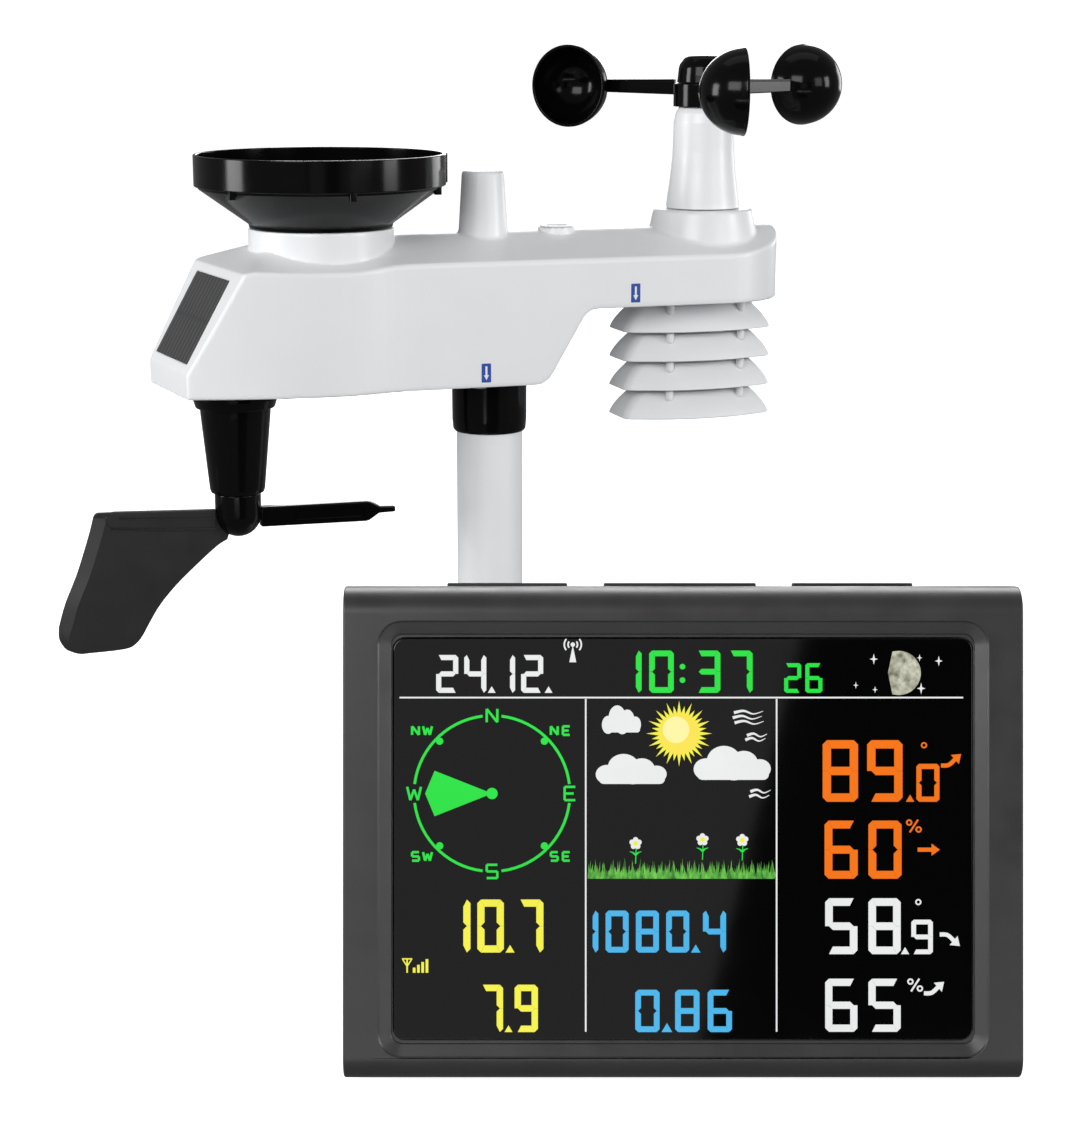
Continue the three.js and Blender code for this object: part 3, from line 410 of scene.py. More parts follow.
def solar_cell():
    """Dark cells with fine lines up the slope and one seam across."""
    s = Shader("solar_cell", 0.34, coat=0.2)
    split = s.node("SeparateXYZ", s.nodes.new("ShaderNodeUVMap").outputs["UV"], 0)

    def stripe(source, count, width):
        """1 on a narrow line in the middle of each of a number of bands."""
        for operation, value in (("MULTIPLY", count), ("PINGPONG", 0.5)):
            step = s.node("Math", source, 0)
            step.operation = operation
            step.inputs[1].default_value = value
            source = step.outputs[0]
        line = s.node("MapRange", source, "Value", From_Min=0.5 - width, From_Max=0.5)
        line.interpolation_type = "SMOOTHSTEP"
        return line.outputs["Result"]

    lines = stripe(split.outputs["X"], 11, 0.24)
    seam = stripe(split.outputs["Y"], 1, 0.035)
    cell = s.mix(s.spread(s.noise(160, 5), 0, 1), (0.014, 0.0145, 0.015), (0.022, 0.023, 0.024))
    ruled = s.mix(lines, cell, (0.11, 0.111, 0.113))
    s.to("Base Color", s.mix(seam, ruled, (0.022, 0.024, 0.026)))
    s.bump(lines, 2e-5, 0.4)
    return s.material


def lit(name, colour, strength):
    """A lit display colour, a little uneven as a backlight is."""
    s = Shader(name, 0.12)
    glow = s.mix(s.spread(s.noise(30, 2), 0, 1), shade(colour, 0.93), colour)
    s.shine(glow, shade(colour, 0.03), shade(colour, 0.06), strength)
    return s.material


def lunar():
    """Ivory with darker patches."""
    s = Shader("lit_moon", 0.2)
    patches = s.mix(s.spread(s.noise(420, 4), 0, 1), (0.16, 0.17, 0.11), (0.78, 0.78, 0.62))
    s.shine(patches, (0.02, 0.02, 0.02), (0.04, 0.04, 0.03), 0.85)
    return s.material


def meadow():
    """Grass green, brighter and darker from blade to blade."""
    s = Shader("lit_meadow", 0.2)
    blades = s.mix(s.spread(s.noise(900, 3, (1, 1, 0.25)), 0, 1), (0.01, 0.16, 0.01), (0.2, 0.75, 0.08))
    s.shine(blades, (0.01, 0.03, 0.01), (0.02, 0.05, 0.02), 0.8)
    return s.material


WHITE = (0.80, 0.815, 0.83)
MATERIALS = {
    "white_shell": moulded("white_shell", WHITE, 0.34, vary=0.012, relief=2e-6),
    "white_matt": moulded("white_matt", shade(WHITE, 0.95), 0.5, vary=0.015),
    "black_gloss": moulded("black_gloss", (0.002, 0.002, 0.0022), 0.14, relief=1e-6, specular=0.16),
    "black_matt": moulded("black_matt", (0.008, 0.008, 0.0085), 0.42),
    "charcoal": moulded("charcoal", (0.027, 0.027, 0.028), 0.36, grain=1500, relief=1.2e-5, vary=0.08),
    "tail_grey": moulded("tail_grey", (0.018, 0.018, 0.0185), 0.4, grain=1800, relief=6e-6, specular=0.4),
    "solar": solar_cell(),
    "screen": moulded("screen", (0.0016, 0.0016, 0.0018), 0.05, relief=2e-7, coat=0.0),
    "display": moulded("display", (0.02, 0.024, 0.026), 0.3),
    "board": circuit_board(),
    "steel": metal("steel", (0.62, 0.63, 0.65), 0.28),
    "brass": metal("brass", (0.7, 0.47, 0.2), 0.32),
    "rubber": moulded("rubber", (0.012, 0.012, 0.012), 0.8, grain=1800, relief=2e-5),
    "cell": metal("cell", (0.42, 0.44, 0.47), 0.36),
    "ivory": moulded("ivory", (0.80, 0.81, 0.81), 0.3),
    "fluid": moulded("fluid", (0.74, 0.78, 0.66), 0.08, relief=5e-7),
}

for part in frame["record"]["subparts"]:
    finish = frame["nodes"][part["node"]].data
    finish.materials.clear()
    finish.materials.append(MATERIALS[part["material_slot"]])

# ---- the head's shell as a field

SIDE = rounded([
    (END_X, BOTTOM), (16.2, BOTTOM, 9), (35.2, ARM_BOTTOM, 8), (TOWER_X + ARM_HALF + 5, ARM_BOTTOM),
    (TOWER_X + ARM_HALF + 5, RIDGE + 12), (SLANT_TOP[0] + (RIDGE + 12 - SLANT_TOP[1]) / 0.44, RIDGE + 12),
    SLANT_TOP, (END_X, BAND_TOP),
], 4)

FRONT_WALL = [
    (END_X - 8, -END_HALF),
    *bezier((END_X - 8, -END_HALF), (-122, -36.5), (-100, -BULGE_HALF), (RAIN_X, -BULGE_HALF), 10),
    *bezier((RAIN_X, -BULGE_HALF), (-60, -BULGE_HALF), (-58, -ARM_HALF), (-42, -ARM_HALF), 8),
]
PLAN = [
    *FRONT_WALL,
    *arc((TOWER_X, 0), ARM_HALF, -math.pi / 2, math.pi / 2, 28),
    *[(x, -y) for x, y in reversed(FRONT_WALL)],
]


def from_outline(points, x, y):
    """Signed distance to a closed outline, negative inside."""
    nearest = np.full(np.shape(x), 1e9)
    inside = np.zeros(np.shape(x), bool)
    for (ax, ay), (bx, by) in zip(points, [*points[1:], points[0]]):
        ex, ey = bx - ax, by - ay
        t = np.clip(((x - ax) * ex + (y - ay) * ey) / (ex * ex + ey * ey), 0, 1)
        nearest = np.minimum(nearest, (x - ax - ex * t) ** 2 + (y - ay - ey * t) ** 2)
        if ey:
            inside ^= ((ay <= y) != (by <= y)) & (x < ax + (y - ay) * ex / ey)
    return np.where(inside, -1, 1) * np.sqrt(nearest)


def overlap(a, b, radius):
    """What two fields share, with the edge between them rounded."""
    reach = np.hypot(np.maximum(a + radius, 0), np.maximum(b + radius, 0))
    return np.minimum(np.maximum(a, b), -radius) + reach


def union(a, b, radius):
    """Two fields together, with a fillet between them."""
    return -overlap(-a, -b, radius)


def boss(x, y, z, centre, radius, top, taper=0.0, edge=1.5):
    """An upright round boss that stands in the body, with its radius at its top and its taper."""
    side = (np.hypot(x - centre, y) - radius - taper * (top - z)) / math.hypot(1, taper)
    return np.maximum(overlap(side, z - top, edge), BOSS_BOTTOM - z)


def shell_field(x, y, z):
    """Signed distance to the head's outer surface."""
    sheared = x + END_SHEAR * y * np.clip((-85 - x) / 15, 0, 1)
    walls = overlap(from_outline(SIDE, sheared, z), from_outline(PLAN, x, y), 1.1)
    roof = (z - RIDGE - 1.6 + ROOF_SLOPE * np.hypot(y, 4.8)) / math.hypot(1, ROOF_SLOPE)
    body = overlap(walls, roof, 1.2)
    body = union(body, boss(x, y, z, RAIN_X, COLLAR_R, COLLAR_TOP, edge=0.6), 0.5)
    body = union(body, boss(x, y, z, ANTENNA_X, 9.1, 269, taper=0.062, edge=1.4), 1.4)
    body = union(body, boss(x, y, z, TOWER_X, 21.9, TOWER_BASE, taper=0.22, edge=1.1), 1.2)
    return union(body, boss(x, y, z, LEVEL_X, 8.0, 244.1, edge=0.4), 0.3)


def surface(field, low, high, step):
    """The zero surface of a field as a mesh: one point in each cell that the surface crosses."""
    axes = [np.arange(a, b + step, step) for a, b in zip(low, high)]
    values = field(*np.meshgrid(*axes, indexing="ij"))
    size = np.array(values.shape) - 1
    corners = [(i, j, k) for i in (0, 1) for j in (0, 1) for k in (0, 1)]

    def corner(array, c):
        return array[c[0]:c[0] + size[0], c[1]:c[1] + size[1], c[2]:c[2] + size[2]]

    total = np.zeros((*size, 3))
    crossings = np.zeros(size)
    for a in corners:
        for axis in range(3):
            if a[axis]:
                continue
            b = tuple(v + (n == axis) for n, v in enumerate(a))
            va, vb = corner(values, a), corner(values, b)
            crossed = (va < 0) != (vb < 0)
            t = np.where(crossed, va / np.where(crossed, va - vb, 1), 0)
            crossings += crossed
            for n in range(3):
                total[..., n] += crossed * (a[n] + (t if n == axis else 0))
    cells = crossings > 0
    number = np.full(size, -1)
    number[cells] = np.arange(cells.sum())
    at = np.argwhere(cells) + total[cells] / crossings[cells][:, None]
    points = np.array(low) + at * step

    faces = []
    for axis in range(3):
        u, v = [n for n in range(3) if n != axis]
        shifted = np.moveaxis(values, axis, 0)
        changed = (shifted[:-1] < 0) != (shifted[1:] < 0)
        rising = np.moveaxis(shifted[:-1] < 0, 0, axis)
        spots = np.argwhere(np.moveaxis(changed, 0, axis))
        quad = []
        for du, dv in ((1, 1), (0, 1), (0, 0), (1, 0)):
            cell = spots.copy()
            cell[:, u] -= du
            cell[:, v] -= dv
            quad.append(number[tuple(cell.T)])
        quad = np.stack(quad, 1)
        flip = rising[tuple(spots.T)] == (axis == 1)
        quad[flip] = quad[flip][:, ::-1]
        faces.append(quad)
    return settled(field, points), np.concatenate(faces)


def settled(field, points):
    """Points moved onto a field's zero surface."""
    nudge = 0.05
    for _ in range(3):
        x, y, z = points.T
        slope = np.stack([
            field(x + nudge, y, z) - field(x - nudge, y, z),
            field(x, y + nudge, z) - field(x, y - nudge, z),
            field(x, y, z + nudge) - field(x, y, z - nudge),
        ], 1) / (2 * nudge)
        steep = np.maximum((slope ** 2).sum(1), 0.25)
        points = points - slope * (field(x, y, z) / steep)[:, None]
    return points


def shear_end(bm):
    """Turns a solid's far left end as the shell's end face is turned."""
    for vert in bm.verts:
        if vert.co.x < RAIN_X:
            vert.co.x -= END_SHEAR * vert.co.y
    return bm


def solar_plate(margin, low, high, soften=0):
    """A plate on the slanted face, between two heights above it."""
    run = Vector((SLANT_TOP[0] - END_X, 0, SLANT_TOP[1] - BAND_TOP))
    up = run.normalized()
    across = Vector((-END_SHEAR, 1, 0))
    out = up.cross(across).normalized()
    place = Matrix((up, across, out)).transposed().to_4x4()
    place.translation = (END_X, 0, BAND_TOP)
    middle = run.length / 2
    half = middle - 4.2 - margin
    plate = prism(oblong(half, 22.5 - margin, 0.9, (middle, 0), 3), "xy", low, high, soften)
    layer = plate.loops.layers.uv.new("UVMap")
    for face in plate.faces:
        for loop in face.loops:
            x, y = loop.vert.co.xy
            loop[layer].uv = ((y + 22.5) / 45, (x - middle + half) / (2 * half))
    return moved(plate, place)


def make_shell():
    step = 0.95
    points, faces = surface(shell_field, (END_X - 10, -46, BOTTOM - 6), (TOWER_X + 42, 46, 274), step)
    mesh = bpy.data.meshes.new("shell")
    mesh.from_pydata(points.tolist(), [], faces.tolist())
    shell = bmesh.new()
    shell.from_mesh(mesh)
    bpy.data.meshes.remove(mesh)
    bmesh.ops.recalc_face_normals(shell, faces=shell.faces)

    base_plan = inset(PLAN, WALL)
    under = [(max(x, END_X + 2.4), z + 2.9) for x, z in SIDE[:-2] if z < ARM_BOTTOM + 1]
    under += [(TOWER_X + 50, BOTTOM - 20), (END_X + 2.4, BOTTOM - 20)]
    below = shear_end(prism(under, "xz", -60, 60))
    ring = skin([[(x, y, z) for x, y in inset(PLAN, -9)] for z in (BOTTOM - 30, ARM_BOTTOM + 20)])
    hole = skin([[(x, y, z) for x, y in base_plan] for z in (BOTTOM - 40, ARM_BOTTOM + 30)])
    bottom = carved(below, carved(ring, hole))
    cuts = [
        bottom,
        block((-62.4, -21.1), (-29.4, 29.4), (BOTTOM - 5, 200.4)),
        block((RAIN_X - 15, RAIN_X + 15), (-28, 28), (BOTTOM - 5, 206)),
        rod(COLLAR_BORE_R, 200, 260, (RAIN_X, 0)),
        rod(17.8, 170, 199),
        rod(6.25, 240.3, 250, (LEVEL_X, 0), 48),
        rod(4.6, 205, 218, (50, -14), 32),
        solar_plate(-0.35, -0.6, 3),
    ]
    for cutter in cuts:
        shell = carved(shell, cutter, solver="MANIFOLD")
    add("head_shell", shell, HEAD, "head", "white_shell", ["housing_upper"])
    panel = solar_plate(0, -0.55, 0.1, 0.15)
    add("solar_window", panel, HEAD, "head", "solar", ["solar_panel"])


MARK_ARROW = (
    (-0.45, 2.9), (-0.45, -0.9), (-1.15, -0.9), (0, -3.1), (1.15, -0.9), (0.45, -0.9), (0.45, 2.9),
)


def make_pictograms():
    """A plain arrow in a box on the front wall, above the cell door and above the reset pin."""
    boxes, arrows = [], []
    for x, z in ((-11.4, 185.4), (56.5, 217.3)):
        boxes.append(prism(oblong(2.1, 4.1, 0.3, (x, z), 3), "xz", -ARM_HALF - 0.1, -ARM_HALF + 0.4))
        shape = [(x + a, z + b) for a, b in MARK_ARROW]
        arrows.append(prism(shape, "xz", -ARM_HALF - 0.14, -ARM_HALF + 0.4))
    print_blue = moulded("print_blue", (0.01, 0.06, 0.36), 0.5)
    add("mark_boxes", gather(*boxes), HEAD, "head", "white_shell", material=print_blue)
    add("mark_arrows", gather(*arrows), HEAD, "head", "white_shell")


# ---- rain gauge


def make_funnel():
    bowl = turned([
        (4, 241.6), (5.4, 241.6), (5.4, 243.4, 0.5), (26.6, 246.7, 0.4), (26.6, 243.6), (28, 243.6, 0.3),
        (28, 246.8, 0.3), (30.6, 246.8, 0.3), (30.9, 248.3, 1), (52, 263.4, 1.2), (52, 264.3, 0.1),
        (53.6, 264.3, 0.5), (53.6, 277.6, 0.45), (52.1, 277.6, 0.45), (52.1, 265, 2), (30, 249.3, 6),
        (4, 244.8, 0.4),
    ], (RAIN_X, 0), 160)
    first = math.radians(20) - math.atan2(arm_axis[1], arm_axis[0]) - math.pi / 2
    pegs = []
    for i in range(6):
        x, y = (51.2 * f(first + i * math.pi / 3) for f in (math.cos, math.sin))
        pegs.append(prism(oblong(1.5, 1.5, 0.8, (RAIN_X + x, y), 4), "xy", 260.9, 264.6, 0.2, 2))
    latch = prism(oblong(1.3, 1.6, 0.5, (RAIN_X + 53.2, -5.5), 3), "xy", 264.8, 277.2, 0.3, 2)
    add("funnel", gather(bowl, *pegs, latch), HEAD, "funnel", "black_gloss", ["rain_funnel"])
    grid = turned([
        (7.6, 246.6), (9.2, 246.6, 0.2), (9.2, 248, 0.5), (5, 252, 1), (0, 252.8), (0, 251.6), (4.4, 250.8),
        (7.6, 247.8),
    ], (RAIN_X, 0), 64)
    slots = [prism(oblong(2.6, 0.6, 0.5, (6.2, 0), 3), "xy", 240, 260) for _ in range(8)]
    for i, slot in enumerate(slots):
        moved(slot, Matrix.Translation((RAIN_X, 0, 0)) @ Matrix.Rotation(i * math.pi / 4, 4, "Z"))
    add("funnel_screen", carved(grid, *slots), HEAD, "funnel", "black_matt", ["debris_screen"])


# ---- bubble level


def make_level():
    ring = turned([
        (4.45, 240.6), (5.95, 240.6), (5.95, 244.2), (7.3, 244.2, 0.1), (7.3, 244.7, 0.2), (5.2, 244.7, 0.2),
        (4.45, 243.8, 0.2),
    ], (LEVEL_X, 0), 72, 3)
    add("level_bezel", ring, HEAD, "head", "ivory", ["level_ring"])
    vial = turned([(0, 240.8), (4.0, 240.8), (4.0, 243.1, 0.5), (0, 243.4)], (LEVEL_X, 0), 56)
    bubble = turned([(0, 243.1), (1.5, 243.1), (1.5, 243.44, 0.2), (0, 243.5)], (LEVEL_X + 0.8, 0.3), 32)
    add("level_window", gather(vial, bubble), HEAD, "head", "fluid", ["level_vial"])


# ---- wind speed

CUP_PHASE = math.radians(14.5)
CUP_LEVEL = 303.6
CUP_RADIUS = 18.3
CUP_DEPTH = 19.4
CUP_ARM_RADIUS = 63
CUP_MOUTH = 10


def make_tower():
    tower = turned([
        (5, 250.8), (16.4, 250.8, 0.2), (15.9, 255.5, 8), (14.5, 266, 30), (13.7, 276, 30), (13.5, 288.6, 6),
        (12.6, 292.6, 3), (11.4, 294.9, 0.5), (8.3, 294.9, 0.2), (8.3, 288.4), (5, 288.4),
    ], (TOWER_X, 0), 128)
    add("wind_tower", tower, HEAD, "head", "white_shell", ["anemometer_tower"])


def make_rotor():
    hub = turned([
        (2.5, 295.3), (13.8, 295.3, 0.35), (13.8, 305.2, 0.4), (12.1, 305.9, 0.5), (11.9, 309, 4),
        (11.4, 313.4, 6), (8.6, 317.1, 4), (0, 318.4), (0, 301), (2.5, 301),
    ], (TOWER_X, 0), 128)
    add("rotor_hub", hub, HEAD, "cups", "black_gloss", ["cup_hub"])
    for i in range(3):
        angle = CUP_PHASE + i * 2 * math.pi / 3
        spin = Matrix.Translation((TOWER_X, 0, CUP_LEVEL)) @ Matrix.Rotation(angle, 4, "Z")
        cup = moved(make_cup(), spin)
        add(f"rotor_cup_{i + 1}", cup, HEAD, "cups", "black_gloss", [f"wind_cup_{i + 1}"])


def make_cup():
    """One cup and its blade, the spindle at the origin and the mouth facing +Y."""
    angles = np.linspace(0, math.pi / 2, 20)
    outer = [(CUP_RADIUS * math.sin(a) - 0.15, -CUP_DEPTH * math.cos(a)) for a in angles[1:]]
    inner = [((CUP_RADIUS - 1.3) * math.sin(a), -(CUP_DEPTH - 1.3) * math.cos(a)) for a in angles[1:]]
    lip = [(CUP_RADIUS, -1.1, 0.3), (CUP_RADIUS, 0, 0.4), (CUP_RADIUS - 1.3, 0, 0.4)]
    section = [(0, -CUP_DEPTH), *outer[:-1], *lip, *inner[::-1][1:], (0, 1.3 - CUP_DEPTH)]
    bowl = moved(turned(section, sides=112), Matrix.Rotation(-math.pi / 2, 4, "X"))
    bowl.transform(Matrix.Translation((CUP_ARM_RADIUS, CUP_MOUTH, 0)))
    reach = CUP_ARM_RADIUS - CUP_RADIUS * math.sqrt(1 - (CUP_MOUTH / CUP_DEPTH) ** 2)
    blade = prism([(14.3, -3.4), (reach + 0.6, -2.8), (reach + 0.6, 2.8), (14.3, 3.4)], "xz", -1.3, 1.3, 0.5)
    rib = prism([(14.3, 2.2), (reach + 0.4, 1.8), (reach + 0.4, 2.9), (14.3, 3.4)], "xz", -1.4, 1.4, 0.3, 2)
    return gather(bowl, blade, rib, spike())


def spike():
    """The tapered root that runs from the blade a little way round the bowl's back."""
    rings = []
    for t in np.linspace(0, 1, 7):
        angle = math.radians(-58 + 34 * t)
        half = 2.4 * (1 - t) + 0.25
        x = CUP_ARM_RADIUS + (CUP_RADIUS + 0.1) * math.sin(angle)
        y = CUP_MOUTH - (CUP_DEPTH + 0.1) * math.cos(angle)
        rings.append([(x, y, half), (x + 0.9, y + 0.9, half), (x + 0.9, y + 0.9, -half), (x, y, -half)])
    return softened(skin(rings), 0.15, 2)


# ---- wind direction

VANE_HUB_R = 9.95
ARROW_TIP_X = -44.2
TAIL_HALF = 1.2
FACET = 5.4


def make_vane():
    tower = turned([
        (3, 176), (18.2, 178.7, 0.2), (18.2, 174.8, 1.2), (17, 170.9, 0.6), (15.2, 170.7, 0.3),
        (15, 167.6, 1.5), (11.9, 135.4, 0.4), (11.4, 133.8, 0.3), (8.4, 133.8), (8.4, 142), (3, 142),
    ], (VANE_X, 0), 128)
    add("vane_socket", tower, HEAD, "head", "black_gloss", ["vane_tower"])
    dome = [(VANE_HUB_R * math.sin(a), 124 - VANE_HUB_R * math.cos(a)) for a in np.linspace(0, 1.45, 12)]
    socket = [(2.5, 133.4), (2.5, 125.5), (0, 125.5)]
    hub = turned([*dome, (VANE_HUB_R, 124), (VANE_HUB_R, 133.4, 0.5), *socket], (VANE_X, 0), 112)
    add("vane_knuckle", hub, HEAD, "vane", "black_gloss", ["vane_hub"])

    root = VANE_X + VANE_HUB_R - 0.4
    shape = rounded([
        (root, 117.7), (-56.6, 117.2, 5), (-51.6, 120.5, 2), (ARROW_TIP_X, 120.7, 0.8),
        (ARROW_TIP_X, 123.3, 0.8), (-51, 123.6, 2), (-56, 126.2, 5), (root, 126.5),
    ], 5)
    arrow = prism(shape, "xz", -2.5, 2.5, 0.9)
    channel = rounded([(root + 15, 119.9, 1.9), (-58, 119.6, 1.9), (-58, 124, 1.9), (root + 15, 124.2, 1.9)])
    arrow = carved(arrow, *[prism(channel, "xz", *reach) for reach in ((-4, -1.7), (1.7, 4))])
    add("vane_pointer", arrow, HEAD, "vane", "black_gloss", ["vane_arrow"], sharp=25)
    make_tail()


def make_tail():
    """The blade, with a sloping facet along its rear edge, and the ribbed spar along its top."""
    root = VANE_X - VANE_HUB_R - 0.2
    rear = spline([(-176.8, 125.2), (-179.2, 117), (-184.4, 102), (-190, 89), (-193.1, 79)], 5)
    toe = spline([(-193.1, 79), (-193.1, 73.4), (-189.9, 68.4), (-184.5, 66.8)], 4)
    heel = spline([(-184.5, 66.8), (-166, 67.4), (-160.5, 69.6), (-157.3, 73.4)], 4)
    front = spline([
        (-157.3, 73.4), (-150.6, 84.6), (-143, 93.6), (-134, 102), (root, 110.2), (-119.5, 113.0),
    ], 6)
    front += arc((VANE_X, 124), VANE_HUB_R - 0.4, math.radians(-118), math.radians(-178), 6)
    top = [(root, 126.5), *arc((-174.2, 125.6), 2.4, math.radians(88), math.radians(170), 5)]
    outer = [*rear, *toe[1:], *heel[1:], *front[1:], *top]
    facet = len(rear) + len(toe) - 1
    last = len(outer) - 1
    rings = [[(x, TAIL_HALF, z) for x, z in outer], [], []]
    for i, (x, z) in enumerate(outer):
        sloped = i < facet or i == last
        wide = FACET * min(1, max(0, 1 - (i - len(rear) + 1) / len(toe))) if i < facet else FACET * sloped
        rings[1].append((x, 1.0 if sloped else -TAIL_HALF, z))
        rings[2].append((x + wide * 0.97, -TAIL_HALF, z - wide * 0.15 if i < facet else z))
    blade = softened(skin(rings), 0.22, 2, 24)
    spar = prism(rounded([
        (root, 117.7), (root, 126.4), (-168, 128.0, 1.5), (-172.4, 126.6, 1.5), (-170, 121.4, 2),
    ]), "xz", -1.9, 1.9, 0.5)
    ribs = []
    for low, far in ((124.4, -166), (119.9, -169)):
        rib = [(root, low - 2.2), (root, low - 1.2), (far, low + 1.5, 0.5), (far, low + 0.6, 0.5)]
        ribs.append(prism(rounded(rib, 3), "xz", -2.4, 2.4, 0.3, 2))
    add("vane_blade", gather(blade, spar, *ribs), HEAD, "vane", "tail_grey", ["vane_tail"], sharp=22)


# ---- radiation shield

LOUVRES = 4
BORE_R = 9
SHIELD_TOP = 197
SHIELD_PITCH = 13
LOUVRE_HALF = 35.5
LOUVRE_MIDDLE = 20
LOUVRE_CORNER = 11.5
SKIRT_HEIGHT = 11.4
SKIRT_DRAFT = 8


def louvre_ring(z, drawn_in):
    """A louvre's plan at a height: bowed long sides and tight corners, drawn in by a distance."""
    half = LOUVRE_HALF - drawn_in
    corner = LOUVRE_CORNER - drawn_in / 2
    bow = LOUVRE_MIDDLE - drawn_in - corner
    side = [(f * half, -corner - bow * (1 - f * f)) for f in (-1, -0.55, -0.3, 0, 0.3, 0.55, 1)]
    side = [(x, y, 5 if abs(x) == half else 60) for x, y in side]
    plan = rounded([*side, *[(-x, -y, r) for x, y, r in side]], 7)
    return [(SHIELD_X + x, y, z) for x, y in plan]


def skirt(depth, low, wall):
    """A ring on the skirt at a share of its height, from its lower edge to its top."""
    return louvre_ring(low + SKIRT_HEIGHT * depth, SKIRT_DRAFT * depth ** 1.45 + wall)


def make_shield():
    for i in range(LOUVRES):
        low = SHIELD_TOP - i * SHIELD_PITCH
        outside = [skirt(d, low, 0) for d in np.linspace(0.03, 0.97, 9)]
        crown = louvre_ring(low + SKIRT_HEIGHT, SKIRT_DRAFT + 0.6)
        inside = [skirt(d, low - 1.2 * d, 1.2) for d in np.linspace(0.93, 0, 8)]
        edge = louvre_ring(low, 0.6)
        top = low + SKIRT_HEIGHT
        angles = [math.atan2(y, x - SHIELD_X) for x, y, _ in crown]
        bores = [
            [(SHIELD_X + BORE_R * math.cos(a), BORE_R * math.sin(a), z) for a in angles]
            for z in (top, top - 1.4)
        ]
        if i < LOUVRES - 1:
            louvre = skin([*outside, crown, *bores, *inside, edge], closed=True)
        else:
            louvre = skin([*inside, edge, *outside, crown])
        pegs = []
        for x, y in ((-14.5, -13.2), (20, -11.9), (20, 11.9), (-14.5, 13.2)):
            profile = [(0, low + 7.4), (1.8, low + 7.4, 1.6), (1.8, top + 1, 0.2), (0, top + 1)]
            pegs.append(turned(profile, (SHIELD_X + x, y), 28))
        louvre = gather(louvre, *pegs)
        add(f"louvre_{i + 1}", louvre, HEAD, "head", "white_matt", [f"shield_louvre_{i + 1}"])


# ---- mast

HOLE_CIRCLE_R = 43


def make_mast():
    tube = turned([(12.6, 4.4), (14.6, 4.4, 0.3), (14.6, 195, 0.4), (12.6, 195, 0.3)], sides=112)
    add("mast_pipe", tube, STAND, "mast", "white_shell", ["mast_tube"])
    sleeve = turned([
        (15.1, 155.6), (15.4, 154.9, 0.1), (16.1, 155.9, 0.6), (16.5, 160, 3), (16.6, 178.7, 0.5),
        (15.1, 178.7),
    ], sides=112)
    lug = block((-7, 7), (15.8, 22.9), (159, 175), 1.2)
    add("mast_sleeve", gather(sleeve, lug), HEAD, "head", "black_gloss", ["mast_clamp"])
    plate = turned([
        (0, 0), (55, 0, 0.4), (55, 3.4, 1.4), (53, 5, 1.2), (21.5, 5.2, 2.5), (19.6, 12, 6),
        (18.6, 46, 1.2), (14.9, 46, 0.4), (14.9, 4), (0, 4),
    ], sides=128)
    holes = []
    for i in range(4):
        a = i * math.pi / 2
        screw = (HOLE_CIRCLE_R * math.cos(a), HOLE_CIRCLE_R * math.sin(a))
        holes.append(turned([(0, -1), (2.6, -1), (2.6, 2.8), (4.8, 5.2), (4.8, 7), (0, 7)], screw, 40))
    webs = []
    for i in range(8):
        outline = rounded([(17.5, 3.5), (47, 3.5), (47.6, 6.4, 1), (19, 36, 4), (17.5, 38)], 4)
        turn = Matrix.Rotation(math.radians(22.5 + 45 * i), 4, "Z")
        webs.append(moved(prism(outline, "xz", -1.4, 1.4, 0.5), turn))
    add("mast_base", gather(carved(plate, *holes), *webs), STAND, "mast", "white_matt", ["mast_foot"])


# ---- console


def make_console():
    half = SCREEN_W / 2
    side = rounded([(SPLIT_Y, 0), (0, 0, 7.4), (0, SCREEN_H, 8.6), (SPLIT_Y, SCREEN_H)], 12)
    case = prism(side, "yz", -half, half, 0.7, 3)
    funnel = skin([
        [(x, y, z) for x, z in oblong(96.6 + out, 69.1 + out, 7.6 + out, (0, RECESS_MIDDLE), 8)]
        for y, out in ((-1, 0.6), (0, 0), (0.5, -0.25), (RECESS_DEPTH, -4.2), (2.4, -4.25))
    ])
    window = prism(oblong(91.9, 63.8, 4, (0, LENS_MIDDLE), 6), "xz", 1, 5)
    hollow = block((-half + 3, half - 3), (4.6, SPLIT_Y + 2), (3, SCREEN_H - 3))
    opening = block((-87, 87), (1, 9), (18, 136))
    front = softened(carved(case, funnel, window, hollow, opening), 0.3, 2, 38)
    add("console_bezel", front, CONSOLE, "console", "charcoal", ["console_front"], sharp=40)
    lens = prism(oblong(91.7, 63.6, 3.8, (0, LENS_MIDDLE), 8), "xz", RECESS_DEPTH, 3.5, 0.2, 2)
    add("console_window", lens, CONSOLE, "console", "screen", ["console_lens"])
    for i, span in enumerate(KEY_SPANS):
        flange = (span[0] - 1.2, span[1] + 1.2)
        key = gather(
            block(span, (15.5, 21.5), (SCREEN_H - 4, SCREEN_H + 1), 0.35),
            block(flange, (14.3, 22.7), (SCREEN_H - 4.6, SCREEN_H - 2.7), 0.2),
        )
        body = ("button_left", "button_middle", "button_right")[i]
        add(f"key_bar_{i + 1}", key, CONSOLE, body, "black_matt", [f"top_button_{i + 1}"])


# ---- display

INK_DEPTH = (1.70, 1.76)
SEGMENTS = {
    "0": "abcdef", "1": "bc", "2": "abged", "3": "abgcd", "4": "fgbc", "5": "afgcd", "6": "afgedc",
    "7": "abc", "8": "abcdefg", "9": "abcdfg",
}
inks = {}


def ink(colour, *outlines):
    """Lays flat shapes of one colour on the display, each given as (x, height) points."""
    for outline in outlines:
        lift = 0.0003 * sum(len(shapes) for shapes in inks.values())
        inks.setdefault(colour, []).append(prism(outline, "xz", INK_DEPTH[0] - lift, INK_DEPTH[1]))


